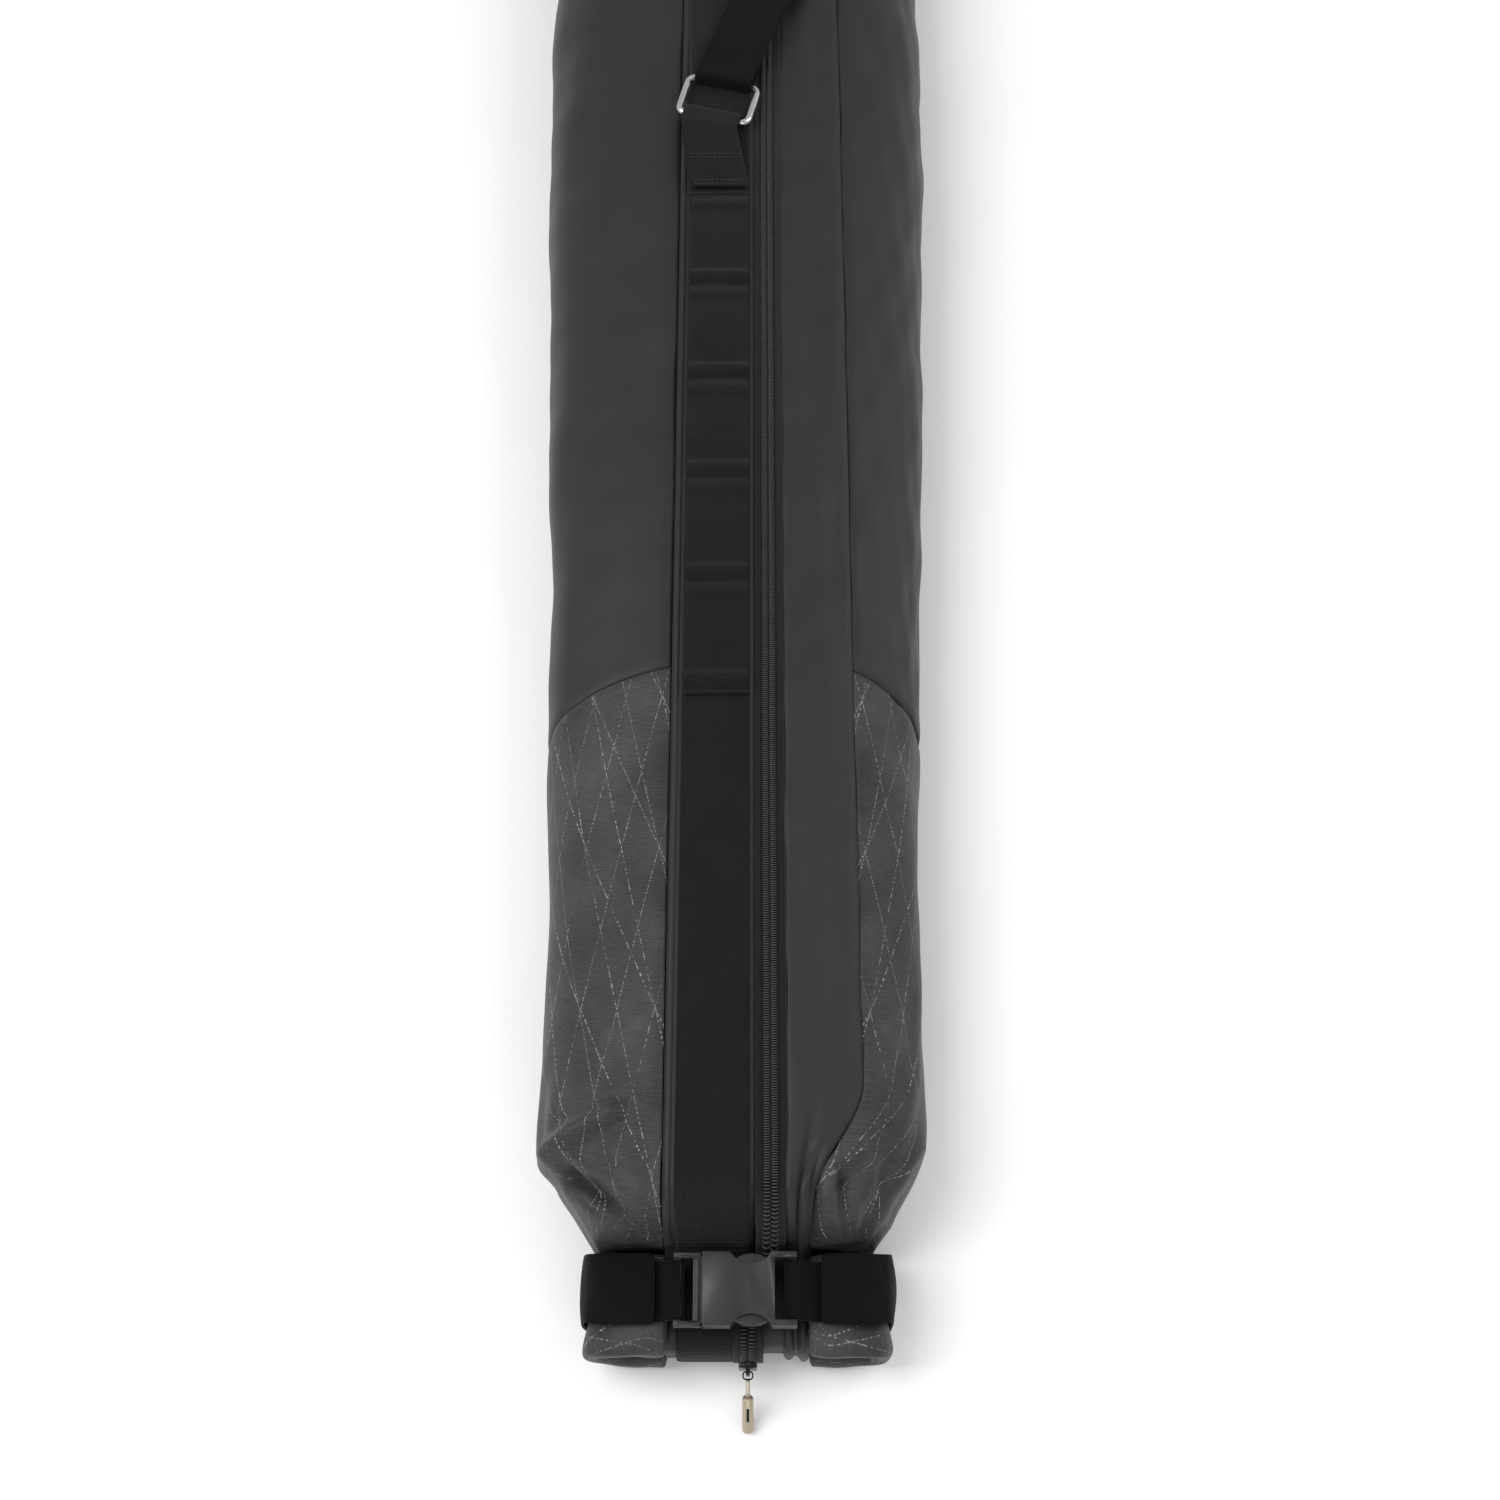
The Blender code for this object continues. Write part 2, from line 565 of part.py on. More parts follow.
def build_roll(laminate, webbing, stiff):
    low_x, high_x = ROLL_X - ROLL_LENGTH / 2, ROLL_X + ROLL_LENGTH / 2
    outer = rounded_outline((ROLL_Y, ROLL_CLEAR), (ROLL_Y + ROLL_DEPTH, ROLL_TOP), ROLL_ROUND, 4)
    middle_y, middle_z = ROLL_Y + ROLL_DEPTH / 2, ROLL_CLEAR + ROLL_HEIGHT / 2
    slot_y, slot_z = STIFFENER_WIDTH / 2 + 2 * GAP, STIFFENER_THICK / 2 + 2 * GAP
    inner = rounded_outline((middle_y - slot_y, middle_z - slot_z), (middle_y + slot_y, middle_z + slot_z),
                            slot_z * 0.8, 4)
    tube_prism("roll_core", outer, inner, low_x, high_x, laminate)
    box("roll_stiffener", (ROLL_X - STIFFENER_LENGTH / 2, middle_y - STIFFENER_WIDTH / 2,
                           middle_z - STIFFENER_THICK / 2),
        (ROLL_X + STIFFENER_LENGTH / 2, middle_y + STIFFENER_WIDTH / 2, middle_z + STIFFENER_THICK / 2), stiff)

    end_low = ROLL_TOP + GAP
    end_high = end_low + ROLL_END_HEIGHT
    tab_y = ROLL_Y + TAB_S
    for side, word in ((-1, "left"), (1, "right")):
        far = ROLL_X + side * ROLL_LENGTH / 2
        near = far - side * ROLL_END_LENGTH
        outline = rounded_outline((ROLL_Y + 0.002, end_low), (ROLL_Y + ROLL_DEPTH - 0.001, end_high), 0.006)
        prism(f"roll_end_{word}", outline, min(far, near), max(far, near), laminate, "X")
        out = far + side * (GAP + TAB_THICK / 2)
        over, under = end_high + GAP + TAB_THICK / 2, ROLL_CLEAR - GAP - TAB_THICK / 2
        round_r = GAP + TAB_THICK / 2
        path = [(near + side * 0.001, tab_y, over), (near + side * 0.024, tab_y, over)]
        for k in range(ROUND_STEPS // 2 + 1):
            angle = math.radians(90 * k / (ROUND_STEPS // 2))
            path.append((out - side * round_r + side * round_r * math.sin(angle), tab_y,
                         over - round_r + round_r * math.cos(angle)))
        path.append((out, tab_y, (over + under) / 2))
        for k in range(3):
            angle = math.radians(45 * k)
            path.append((out - side * 0.002 * (1 - math.cos(angle)), tab_y, under + 0.002 - 0.002 * math.sin(angle)))
        path.append((far - side * 0.030, tab_y, under))
        ribbon(f"closure_tab_{word}", path, (0, 1, 0), TAB_WIDTH, TAB_THICK, webbing)
    return end_high + 2 * GAP + TAB_THICK


# --- buckle ---

def scallop(side):
    """Round bite in the buckle body's long side, as points from start to end."""
    count = ROUND_STEPS
    points = []
    for k in range(count + 1):
        share = k / count
        x = mix(SCALLOP_START, SCALLOP_END, share)
        bite = SCALLOP_DEPTH * math.sin(math.pi * share) ** 0.6
        points.append((x, side * (BUCKLE_WIDTH / 2 - bite)))
    return points


def build_buckle(tab_top, plastic, webbing):
    middle_y = ROLL_Y + BUCKLE_S
    half = BUCKLE_WIDTH / 2
    frame_low = tab_top + MALE_CLEAR
    frame_high = frame_low + MALE_HEIGHT
    prong_low = frame_low + MALE_HEIGHT / 2 - PRONG_HEIGHT / 2
    cavity_low, cavity_high = prong_low - 0.0008, prong_low + PRONG_HEIGHT + 0.0008
    female_low, female_high = cavity_low - FEMALE_WALL, cavity_high + FEMALE_WALL

    def place(points):
        return [(BUCKLE_MOUTH_X + x, middle_y + y) for x, y in points]

    def cutter(name, x0, x1, half_width, z0, z1):
        return box(name, (BUCKLE_MOUTH_X + x0, middle_y - half_width, z0),
                   (BUCKLE_MOUTH_X + x1, middle_y + half_width, z1))

    # female body: scalloped block, cavity open at the mouth, strap bar at the far end
    outline = [(0, -half)] + scallop(-1) + [(FEMALE_LENGTH, -half), (FEMALE_LENGTH, half)]
    outline += scallop(1)[::-1] + [(0, half)]
    female = prism("buckle_female", place(outline), female_low, female_high, plastic)
    cavity_end = PRONG_REACH + 0.0015
    boolean(female, cutter("cavity_cutter", -0.001, cavity_end, half - MOUTH_WALL, cavity_low, cavity_high))
    strap_room = STRAP_WIDTH / 2 + GAP
    bar_start = FEMALE_LENGTH - BUCKLE_BAR
    bar_top = female_low + 0.0085
    slot_start = cavity_end + 0.0030
    boolean(female, cutter("strap_slot_cutter", slot_start, bar_start, strap_room, female_low - 0.001,
                           female_high + 0.001))
    boolean(female, cutter("bar_cutter", bar_start - 0.001, FEMALE_LENGTH + 0.001, strap_room, bar_top,
                           female_high + 0.001))

    # male frame: two rails, an outer bar, a guide that plugs into the mouth
    outline = [(-MALE_LENGTH, -half), (-GAP, -half), (-GAP, -half + MOUTH_WALL + GAP)]
    outline += [(GUIDE_LENGTH, -half + MOUTH_WALL + GAP), (GUIDE_LENGTH, half - MOUTH_WALL - GAP)]
    outline += [(-GAP, half - MOUTH_WALL - GAP), (-GAP, half), (-MALE_LENGTH, half)]
    male = prism("buckle_male", place(outline), frame_low, frame_high, plastic)
    bar_low_top = frame_high - 0.0024
    slot_low, slot_high = -MALE_LENGTH + 0.0050, -0.0062
    boolean(male, cutter("male_slot_cutter", slot_low, slot_high, half - RAIL_WIDTH, frame_low - 0.001,
                         frame_high + 0.001))
    boolean(male, cutter("male_bar_cutter", -MALE_LENGTH - 0.001, -0.0030, half - RAIL_WIDTH, bar_low_top,
                         frame_high + 0.001))
    pivot("buckle_release_axis", (BUCKLE_MOUTH_X, middle_y, frame_low + MALE_HEIGHT / 2), male)
    male.location = (-BUCKLE_MOUTH_X, -middle_y, -(frame_low + MALE_HEIGHT / 2))

    # latch prongs: round root, slim beam, leaf-shaped pad
    for side, word in ((1, "upper"), (-1, "lower")):
        root = [(PRONG_PIVOT_X + PRONG_ROOT_R * math.cos(a), PRONG_PIVOT_Y + PRONG_ROOT_R * math.sin(a))
                for a in np.linspace(math.radians(40), math.radians(320), ROUND_STEPS)]
        tip_r = 0.0020
        outline = root + [(0.0200, 0.0140), (0.0250, 0.0125), (PRONG_REACH - tip_r, 0.0125)]
        outline += [(PRONG_REACH, 0.0125 + tip_r)]
        for share in np.linspace(0, 1, 6):
            x = mix(PRONG_REACH - 0.0005, 0.0215, share)
            outline.append((x, 0.0185 + 0.0053 * math.sin(math.pi * (0.12 + 0.80 * share)) ** 0.8))
        local = [(x - PRONG_PIVOT_X, side * (y - PRONG_PIVOT_Y)) for x, y in outline]
        prong = prism(f"buckle_prong_{word}", local, 0, PRONG_HEIGHT, plastic)
        prong.location = (BUCKLE_MOUTH_X + PRONG_PIVOT_X, middle_y + side * PRONG_PIVOT_Y, prong_low)

    # short straps from under the tabs' ends to the two bars
    def strap(name, points):
        path = [(x, middle_y, z) for x, z in points]
        ribbon(name, path, (0, 1, 0), STRAP_WIDTH, STRAP_THICK, webbing)

    rest_z = tab_top - GAP - TAB_THICK / 2
    left_end = ROLL_X - ROLL_LENGTH / 2 + ROLL_END_LENGTH
    right_end = ROLL_X + ROLL_LENGTH / 2 - ROLL_END_LENGTH
    male_x = BUCKLE_MOUTH_X - MALE_LENGTH
    over_bar = bar_low_top + GAP + STRAP_THICK / 2
    strap("buckle_strap_left", [
        (left_end + 0.0002, rest_z), (left_end + 0.0030, rest_z + 0.0003), (male_x - 0.0035, over_bar - 0.0008),
        (male_x - 0.0012, over_bar), (male_x + 0.0046, over_bar), (male_x + 0.0070, over_bar - 0.0012),
        (male_x + 0.0080, over_bar - 0.0040)])
    female_x = BUCKLE_MOUTH_X + FEMALE_LENGTH
    over_bar = bar_top + GAP + STRAP_THICK / 2
    strap("buckle_strap_right", [
        (right_end - 0.0002, rest_z), (right_end - 0.0035, rest_z + 0.0008), (female_x + 0.0042, over_bar - 0.0016),
        (female_x + 0.0015, over_bar), (female_x - 0.0060, over_bar), (female_x - 0.0085, over_bar - 0.0016),
        (female_x - 0.0092, over_bar - 0.0050)])


# --- zip slider and pull ---

def build_slider(black, light, brass):
    x = ZIP_X + ZIP_DRIFT
    face = ROLL_Y - SLIDER_FACE_OUT
    slider = box("zip_slider", (x - SLIDER_WIDTH / 2, face - SLIDER_THICK, SLIDER_Z - SLIDER_LENGTH / 2),
                 (x + SLIDER_WIDTH / 2, face, SLIDER_Z + SLIDER_LENGTH / 2), black)
    bridge_face = face - SLIDER_THICK
    bridge = box("bridge_body", (x - BRIDGE_WIDTH / 2, bridge_face - BRIDGE_RISE, SLIDER_Z - BRIDGE_SPAN / 2),
                 (x + BRIDGE_WIDTH / 2, bridge_face + 0.001, SLIDER_Z + BRIDGE_SPAN / 2))
    window = box("bridge_window", (x - 0.01, bridge_face - BRIDGE_RISE + BRIDGE_BAR,
                                   SLIDER_Z - BRIDGE_SPAN / 2 + BRIDGE_BAR),
                 (x + 0.01, bridge_face - 0.0002, SLIDER_Z + BRIDGE_SPAN / 2 - BRIDGE_BAR))
    boolean(slider, bridge, "UNION")
    boolean(slider, window)
    slider_place = (x, bridge_face, SLIDER_Z)
    pivot("zip_slider_axis", slider_place, slider)
    slider.location = tuple(-v for v in slider_place)

    lug = np.array([x, ROLL_Y - LUG_OUT, LUG_Z])
    half = PULL_LOOP_WIDTH / 2
    loop = rounded_outline((-half, 0), (half, PULL_LOOP_LENGTH - PULL_WIRE), 0.0018, 3)
    hang = bpy.data.objects.new("pull_axis", None)
    bpy.context.scene.collection.objects.link(hang)
    hang.location = lug
    hang.rotation_euler = (-PULL_LEAN, 0, 0)
    # under the empty the pull hangs straight down along -Z
    ring = wire("pull_loop", [(a, 0, -b) for a, b in loop], PULL_WIRE, black, True, 1)
    start = PULL_LOOP_LENGTH - PULL_WIRE / 2 + GAP
    stem = wire("pull_stem", [(0, 0, -start), (0, 0, -start - STEM_LENGTH + GAP)], STEM_DIAMETER, light, False, 2)
    barrel_start = start + STEM_LENGTH
    work = bmesh.new()
    bmesh.ops.create_cone(work, cap_ends=True, segments=14, radius1=BARREL_DIAMETER / 2,
                          radius2=BARREL_DIAMETER / 2, depth=BARREL_LENGTH)
    mesh = bpy.data.meshes.new("pull_barrel")
    work.to_mesh(mesh)
    work.free()
    barrel = add_object("pull_barrel", mesh, brass)
    barrel.location = (0, 0, -barrel_start - BARREL_LENGTH / 2)
    for piece in (ring, stem, barrel):
        piece.parent = hang


# --- rings, tabs and carrying strap ---

def ring_outline():
    half_w = (RING_INNER_WIDTH + RING_BAR) / 2
    half_l = (RING_INNER_LENGTH + RING_BAR) / 2
    return rounded_outline((-half_w, -half_l), (half_w, half_l), RING_CORNER, 4)


def over_webbing(x, s):
    """Height of the front webbing's face at x and s, with its clearance to what lies on it."""
    return float(front_height(x, s)) + 2 * GAP + WEB_THICK


def ring_height(s):
    """Height of a ring's bars, which lie on the tab's lower ply, clear of the front for the length of the tails."""
    tops = [over_webbing(RING_X, s + shift) for shift in (-STRAP_TAIL - 0.02, 0, STRAP_TAIL + 0.02)]
    return max(tops) + PLY_THICK + GAP + RING_CLEAR + RING_BAR / 2


def hairpin(bar, along, tail, room, drop=0.0):
    """Path of a ply that comes in under a bar, turns round it and goes back above it.

    along points from the bar to the tails; room is the free height kept above the bar, and drop
    is how much lower the under ply's end lies.
    """
    bar, along = np.asarray(bar, float), np.asarray(along, float)
    up = np.array([0, 0, 1.0])
    radius = RING_BAR / 2 + RING_CLEAR + PLY_THICK / 2
    low, high = -radius, radius + room
    points = [bar + along * tail + up * (low - drop), bar + along * 0.012 + up * low, bar + up * low]
    middle, half = (low + high) / 2, (high - low) / 2
    for k in range(1, 8):
        angle = math.radians(-90 - 180 * k / 8)
        points.append(bar + along * radius * math.cos(angle) + up * (middle + half * math.sin(angle)))
    points += [bar + up * high, bar + along * 0.012 + up * (high - 0.0003)]
    return points


def strap_route(start, end, pad_y, pad_z, lean):
    """Middle line of the carrying strap between the two rings, above the bag's front."""
    leave = np.array([math.sin(lean), math.cos(lean)])
    arrive = np.array([math.sin(lean), -math.cos(lean)])
    run = 0.080
    half_pad = PAD_LENGTH / 2 + PAD_TRAVEL + 0.010
    a, b = start[:2] + leave * run, end[:2] + arrive * run
    pad_low, pad_high = np.array([PAD_X, pad_y - half_pad]), np.array([PAD_X, pad_y + half_pad])
    flat = []

    def bend(p0, d0, p1, d1, steps):
        reach = np.linalg.norm(p1 - p0) * 0.38
        for t in np.linspace(0, 1, steps + 1)[1:]:
            q = (1 - t) ** 3 * p0 + 3 * (1 - t) ** 2 * t * (p0 + d0 * reach)
            flat.append(q + 3 * (1 - t) * t * t * (p1 - d1 * reach) + t ** 3 * p1)

    ahead = np.array([0, 1.0])
    flat.append(start[:2] + leave * 0.030)
    flat.append(a)
    bend(a, leave, pad_low, ahead, 5)
    flat.append(pad_high)
    bend(pad_high, ahead, b, -arrive, 5)
    flat.append(end[:2] + arrive * 0.030)
    route = []
    for x, y in flat:
        near = ease(abs(y - pad_y), half_pad, half_pad + 0.05)
        z_end = mix(start[2], end[2], ease(y, start[1], end[1]))
        route.append((x, y, mix(pad_z, z_end, float(near))))
    return route


def build_carrying(metal, webbing, padding, plastic):
    lean, turn = math.radians(STRAP_LEAVE_DEG), math.radians(RING_TURN_DEG)
    bar_off = (RING_INNER_LENGTH + RING_BAR) / 2
    ends = []
    for word, s, sign in (("lower", RING_LOWER_S, 1), ("upper", BAG_LENGTH - RING_TO_END, -1)):
        centre = np.array([RING_X, ROLL_Y + s, ring_height(s)])
        # sign is the way along the bag from the tab to the strap
        along = np.array([math.sin(turn), sign * math.cos(turn), 0])
        across = np.array([math.cos(turn), -sign * math.sin(turn), 0])
        tab_bar, strap_bar = centre - along * bar_off, centre + along * bar_off
        ring = wire(f"ring_{word}", [(a, b + sign * bar_off, 0) for a, b in ring_outline()], RING_BAR, metal,
                    True, 2)
        pivot(f"ring_{word}_axis", tab_bar, ring, -sign * turn)
        tail_end = tab_bar - along * TAB_TAIL
        low_ply = tab_bar[2] - RING_BAR / 2 - RING_CLEAR - PLY_THICK / 2
        drop = low_ply - over_webbing(RING_X, tail_end[1] - ROLL_Y) - PLY_THICK / 2
        path = hairpin(tab_bar, -along, TAB_TAIL, 0.0, drop)
        path.append(tail_end + along * 0.004 + np.array([0, 0, low_ply - drop + PLY_THICK + 2 * GAP - tab_bar[2]]))
        ribbon(f"ring_tab_{word}", path, across, WEB_WIDTH, PLY_THICK, webbing)
        ends.append((strap_bar, along, across))
    (start, start_along, across), (end, end_along, end_across) = ends
    pad_y = (start[1] + end[1]) / 2
    pad_s = pad_y - ROLL_Y
    pad_z = max(float(front_height(PAD_X, pad_s)), float(front_height(ZIP_X, pad_s))) + PAD_RISE
    high = RING_BAR / 2 + RING_CLEAR + PLY_THICK / 2 + RING_PLAY
    lift = np.array([0, 0, high])
    route = strap_route(start + lift, end + lift, pad_y, pad_z, lean)
    first = hairpin(start, start_along, STRAP_TAIL, RING_PLAY)
    last = hairpin(end, end_along, STRAP_TAIL, RING_PLAY)[::-1]
    path = np.array(first + route + last)
    aside = np.array([across] * len(first) + [(1, 0, 0)] * len(route) + [end_across] * len(last))
    flat_tangent = np.gradient(path, axis=0)
    middle = slice(len(first), len(first) + len(route))
    aside[middle, 0], aside[middle, 1] = flat_tangent[middle, 1], -flat_tangent[middle, 0]
    aside[:, 2] = 0
    aside /= np.linalg.norm(aside, axis=1)[:, None]
    ribbon("shoulder_strap", path, aside, WEB_WIDTH, PLY_THICK, webbing)

    # shoulder pad: a flat sleeve that the strap runs through
    half_w, half_t = PAD_WIDTH / 2, PAD_THICK / 2
    slot_w, slot_t = WEB_WIDTH / 2 + 0.0015, PLY_THICK / 2 + 0.0010
    rows = []
    for share in np.linspace(-1, 1, 9):
        slim = 1 - 0.12 * abs(share) ** 6
        shape = rounded_outline((-half_w * slim, -half_t * slim), (half_w * slim, half_t * slim),
                                half_t * 0.9 * slim, 3)
        rows.append([(x, share * PAD_LENGTH / 2, z) for x, z in shape])
    slot = rounded_outline((-slot_w, -slot_t), (slot_w, slot_t), slot_t * 0.8, 3)
    holes = [[(x, y, z) for x, z in slot] for y in (-PAD_LENGTH / 2, PAD_LENGTH / 2)]
    loops = rows + holes[::-1]
    count = len(slot)
    points = [p for loop in loops for p in loop]
    faces = []
    for k in range(len(loops)):
        a, b = k * count, (k + 1) % len(loops) * count
        faces += [(a + i, a + (i + 1) % count, b + (i + 1) % count, b + i) for i in range(count)]
    pad = mesh_object("shoulder_pad", points, faces, padding)
    pad.location = (PAD_X, pad_y, pad_z)

    # strap adjuster: a flat frame with a middle bar, on the strap's last straight run
    arrive = np.array([math.sin(lean), -math.cos(lean), 0])
    adjuster_at = end + arrive * 0.056
    adjuster_at[2] = end[2] + high
    turn_z = -math.atan2(arrive[0], -arrive[1])
    half_w, half_l = ADJUSTER_WIDTH / 2, ADJUSTER_LENGTH / 2
    slot_w, slot_t = WEB_WIDTH / 2 + ADJUSTER_CLEAR, PLY_THICK / 2 + 0.0010
    half_t = slot_t + ADJUSTER_THICK
    outside = rounded_outline((-half_w, -half_t), (half_w, half_t), 0.0020)
    inside = rounded_outline((-slot_w, -slot_t), (slot_w, slot_t), 0.0010)
    frame = tube_prism("strap_adjuster", outside, inside, -half_l, half_l, plastic, "Z")
    frame.location = adjuster_at
    frame.rotation_euler = (math.radians(90), 0, -turn_z)


def main():
    for item in list(bpy.data.objects):
        bpy.data.objects.remove(item, do_unlink=True)
    laminate = make_material("laminate", (0.045, 0.046, 0.048), 0.62)
    smooth = make_material("smooth_fabric", (0.028, 0.029, 0.031), 0.55)
    back = make_material("back_fabric", (0.018, 0.018, 0.019), 0.60)
    webbing = make_material("webbing", (0.012, 0.012, 0.013), 0.75)
    tape = make_material("zip_tape", (0.010, 0.010, 0.011), 0.80)
    coil = make_material("zip_coil", (0.014, 0.014, 0.015), 0.40)
    plastic = make_material("buckle_plastic", (0.060, 0.061, 0.064), 0.48)
    black = make_material("slider_black", (0.012, 0.012, 0.012), 0.35, 0.6)
    light = make_material("pull_stem_light", (0.70, 0.66, 0.55), 0.45)
    brass = make_material("pull_brass", (0.62, 0.53, 0.38), 0.38, 0.8)
    steel = make_material("ring_steel", (0.62, 0.62, 0.61), 0.30, 1.0)
    foam = make_material("foam", (0.20, 0.20, 0.21), 0.90)
    stiff = make_material("stiffener_plastic", (0.10, 0.10, 0.10), 0.55)

    build_shell(laminate, smooth, back)
    build_far_end(smooth)
    build_back_padding(foam)
    build_front(smooth, webbing, tape, coil, steel)
    tab_top = build_roll(laminate, webbing, stiff)
    build_buckle(tab_top, plastic, webbing)
    build_slider(black, light, brass)
    build_carrying(steel, webbing, back, plastic)


main()
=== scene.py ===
import math
import bpy
import numpy as np
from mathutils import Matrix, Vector


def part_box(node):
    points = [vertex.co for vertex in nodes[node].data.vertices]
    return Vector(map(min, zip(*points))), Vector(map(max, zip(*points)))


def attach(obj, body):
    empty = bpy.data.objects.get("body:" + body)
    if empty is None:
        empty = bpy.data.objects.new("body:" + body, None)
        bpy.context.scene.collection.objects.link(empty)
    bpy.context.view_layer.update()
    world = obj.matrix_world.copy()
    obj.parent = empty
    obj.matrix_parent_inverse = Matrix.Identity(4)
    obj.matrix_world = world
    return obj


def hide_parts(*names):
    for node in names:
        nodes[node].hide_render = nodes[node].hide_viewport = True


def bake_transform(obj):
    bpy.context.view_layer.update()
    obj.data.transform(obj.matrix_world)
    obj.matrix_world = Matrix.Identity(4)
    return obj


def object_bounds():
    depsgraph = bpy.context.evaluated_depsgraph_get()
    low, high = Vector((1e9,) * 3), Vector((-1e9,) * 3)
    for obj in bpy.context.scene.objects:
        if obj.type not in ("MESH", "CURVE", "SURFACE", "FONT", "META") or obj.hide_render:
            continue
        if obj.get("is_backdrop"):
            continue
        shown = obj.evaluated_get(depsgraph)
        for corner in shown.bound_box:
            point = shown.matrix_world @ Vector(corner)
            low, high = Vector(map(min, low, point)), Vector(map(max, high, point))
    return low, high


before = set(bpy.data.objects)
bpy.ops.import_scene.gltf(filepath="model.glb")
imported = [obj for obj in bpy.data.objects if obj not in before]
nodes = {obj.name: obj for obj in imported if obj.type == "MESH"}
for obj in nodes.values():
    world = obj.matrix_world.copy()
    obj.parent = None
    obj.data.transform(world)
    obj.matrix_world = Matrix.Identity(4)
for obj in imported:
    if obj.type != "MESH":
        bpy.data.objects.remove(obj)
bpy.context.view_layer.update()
scene = bpy.context.scene
scene.view_settings.view_transform = "Standard"

# sizes shared with the CAD part, in metres; s runs up the bag from the roll's front face
rollY = -0.9045187
bagLength, capLength = 1.860, 0.070
capS = bagLength - capLength
mouthS, bulgeS, gatherS, widestS = 0.0665, 0.100, 0.125, 1.250
power = 2.7
rollTop, rollRound = 0.052, 0.015
zipX, zipDrift = 0.0263, -0.0155
webX, webWidth = -0.013, 0.050
leftSeamX = -0.047


def ease(v, low, high):
    t = np.clip((np.asarray(v, float) - low) / (high - low), 0, 1)
    return t * t * (3 - 2 * t)


def mix(a, b, t):
    return a + (b - a) * t


def ripple(a, b, size, seed, waves=7):
    """Sum of sine waves with random headings, about -1 to 1, size is the usual wave length."""
    rng = np.random.default_rng(seed)
    total = 0 * a
    for k in range(waves):
        heading, phase = rng.uniform(0, math.pi), rng.uniform(0, 6.28)
        length = size * rng.uniform(0.6, 1.7)
        total = total + np.sin(6.283 * (a * math.cos(heading) + b * math.sin(heading)) / length + phase)
    return total / math.sqrt(waves) / 1.4


def shellSize(s):
    up, past = ease(s, gatherS, widestS), ease(s, widestS, capS)
    width = mix(mix(0.269, 0.336, up), 0.292, past)
    depth = mix(mix(0.122, 0.150, up), 0.130, past)
    corner = np.clip((0.131 - s) / (0.131 - mouthS), 0, 1)
    width = mix(width, 0.190, corner ** 1.15)
    drop = np.clip((bulgeS - s) / (bulgeS - mouthS), 0, 1)
    depth = mix(0.056, depth, np.sqrt(1 - np.minimum(drop, 0.999) ** 2))
    return width / 2, depth


def section(s):
    half, depth = shellSize(s)
    rise = (depth + 0.008) / 2
    return half, depth - rise, rise


def frontHeight(x, s):
    half, centre, rise = section(s)
    return centre + rise * (1 - np.minimum(np.abs(x / half), 0.999) ** power) ** (1 / power)


def rightSeam(s):
    return mix(0.054, 0.090, ease(s, 0.080, 0.170))


def nearLine(x, s, fold):
    """Distance to a fold's line, and where along it, in the plan of the front."""
    x0, s0, x1, s1 = fold[:4]
    dx, ds = x1 - x0, s1 - s0
    t = np.clip(((x - x0) * dx + (s - s0) * ds) / (dx * dx + ds * ds), 0, 1)
    return np.hypot(x - x0 - t * dx, s - s0 - t * ds), t


# folds of the gathered end: line in the plan (x, s to x, s), width and height
folds = [
    (-0.124, 0.124, -0.081, 0.146, 0.0070, 0.0088),
    (-0.112, 0.110, -0.056, 0.068, 0.0065, -0.0145),
    (-0.118, 0.104, -0.062, 0.066, 0.006, 0.0030),
    (-0.104, 0.132, -0.060, 0.088, 0.016, 0.0035),
    (-0.055, 0.110, -0.050, 0.068, 0.005, -0.0045),
    (-0.081, 0.144, -0.052, 0.150, 0.007, 0.0018),
    (0.056, 0.118, 0.0545, 0.066, 0.0045, -0.0085),
    (0.048, 0.150, 0.0445, 0.070, 0.0045, 0.0030),
    (0.068, 0.124, 0.064, 0.072, 0.006, 0.0040),
    (0.074, 0.106, 0.078, 0.068, 0.005, -0.0060),
    (0.086, 0.124, 0.100, 0.086, 0.008, 0.0040),
    (0.108, 0.118, 0.088, 0.070, 0.006, -0.0050),
    (0.071, 0.098, 0.088, 0.112, 0.005, -0.0030),
]


def foldLift(x, s):
    total = 0 * x
    for fold in folds:
        away, t = nearLine(x, s, fold)
        total = total + fold[5] * np.exp(-(away / fold[4]) ** 2)
    return total * ease(s, 0.064, 0.074)


def shellPoint(s, angle, lift=0.0):
    """Superellipse section of the stuffed bag at s and angle, pressed flat by the floor, moved out by lift."""
    half, centre, rise = section(s)
    cos, sin = np.cos(angle), np.sin(angle)
    x = np.sign(cos) * np.abs(cos) ** (2 / power)
    z = np.sign(sin) * np.abs(sin) ** (2 / power)
    nx = np.sign(x) * np.abs(x) ** (power - 1) / half
    nz = np.sign(z) * np.abs(z) ** (power - 1) / rise
    size = np.hypot(nx, nz)
    x = half * x
    z = centre + rise * z
    lift = lift + foldLift(x, s) * ease(z, 0.03, 0.06)
    return np.stack([x + lift * nx / size, rollY + s + 0 * x, np.maximum(z + lift * nz / size, 0.0)],
                    axis=-1)


def seamAngle(s, x):
    return np.arccos(np.minimum(np.abs(x) / section(s)[0], 1) ** (power / 2))


def backSeamAngle(s):
    half, centre, rise = section(s)
    share = (0.36 * shellSize(s)[1] - centre) / rise
    return np.sign(share) * np.arcsin(np.abs(share) ** (power / 2))


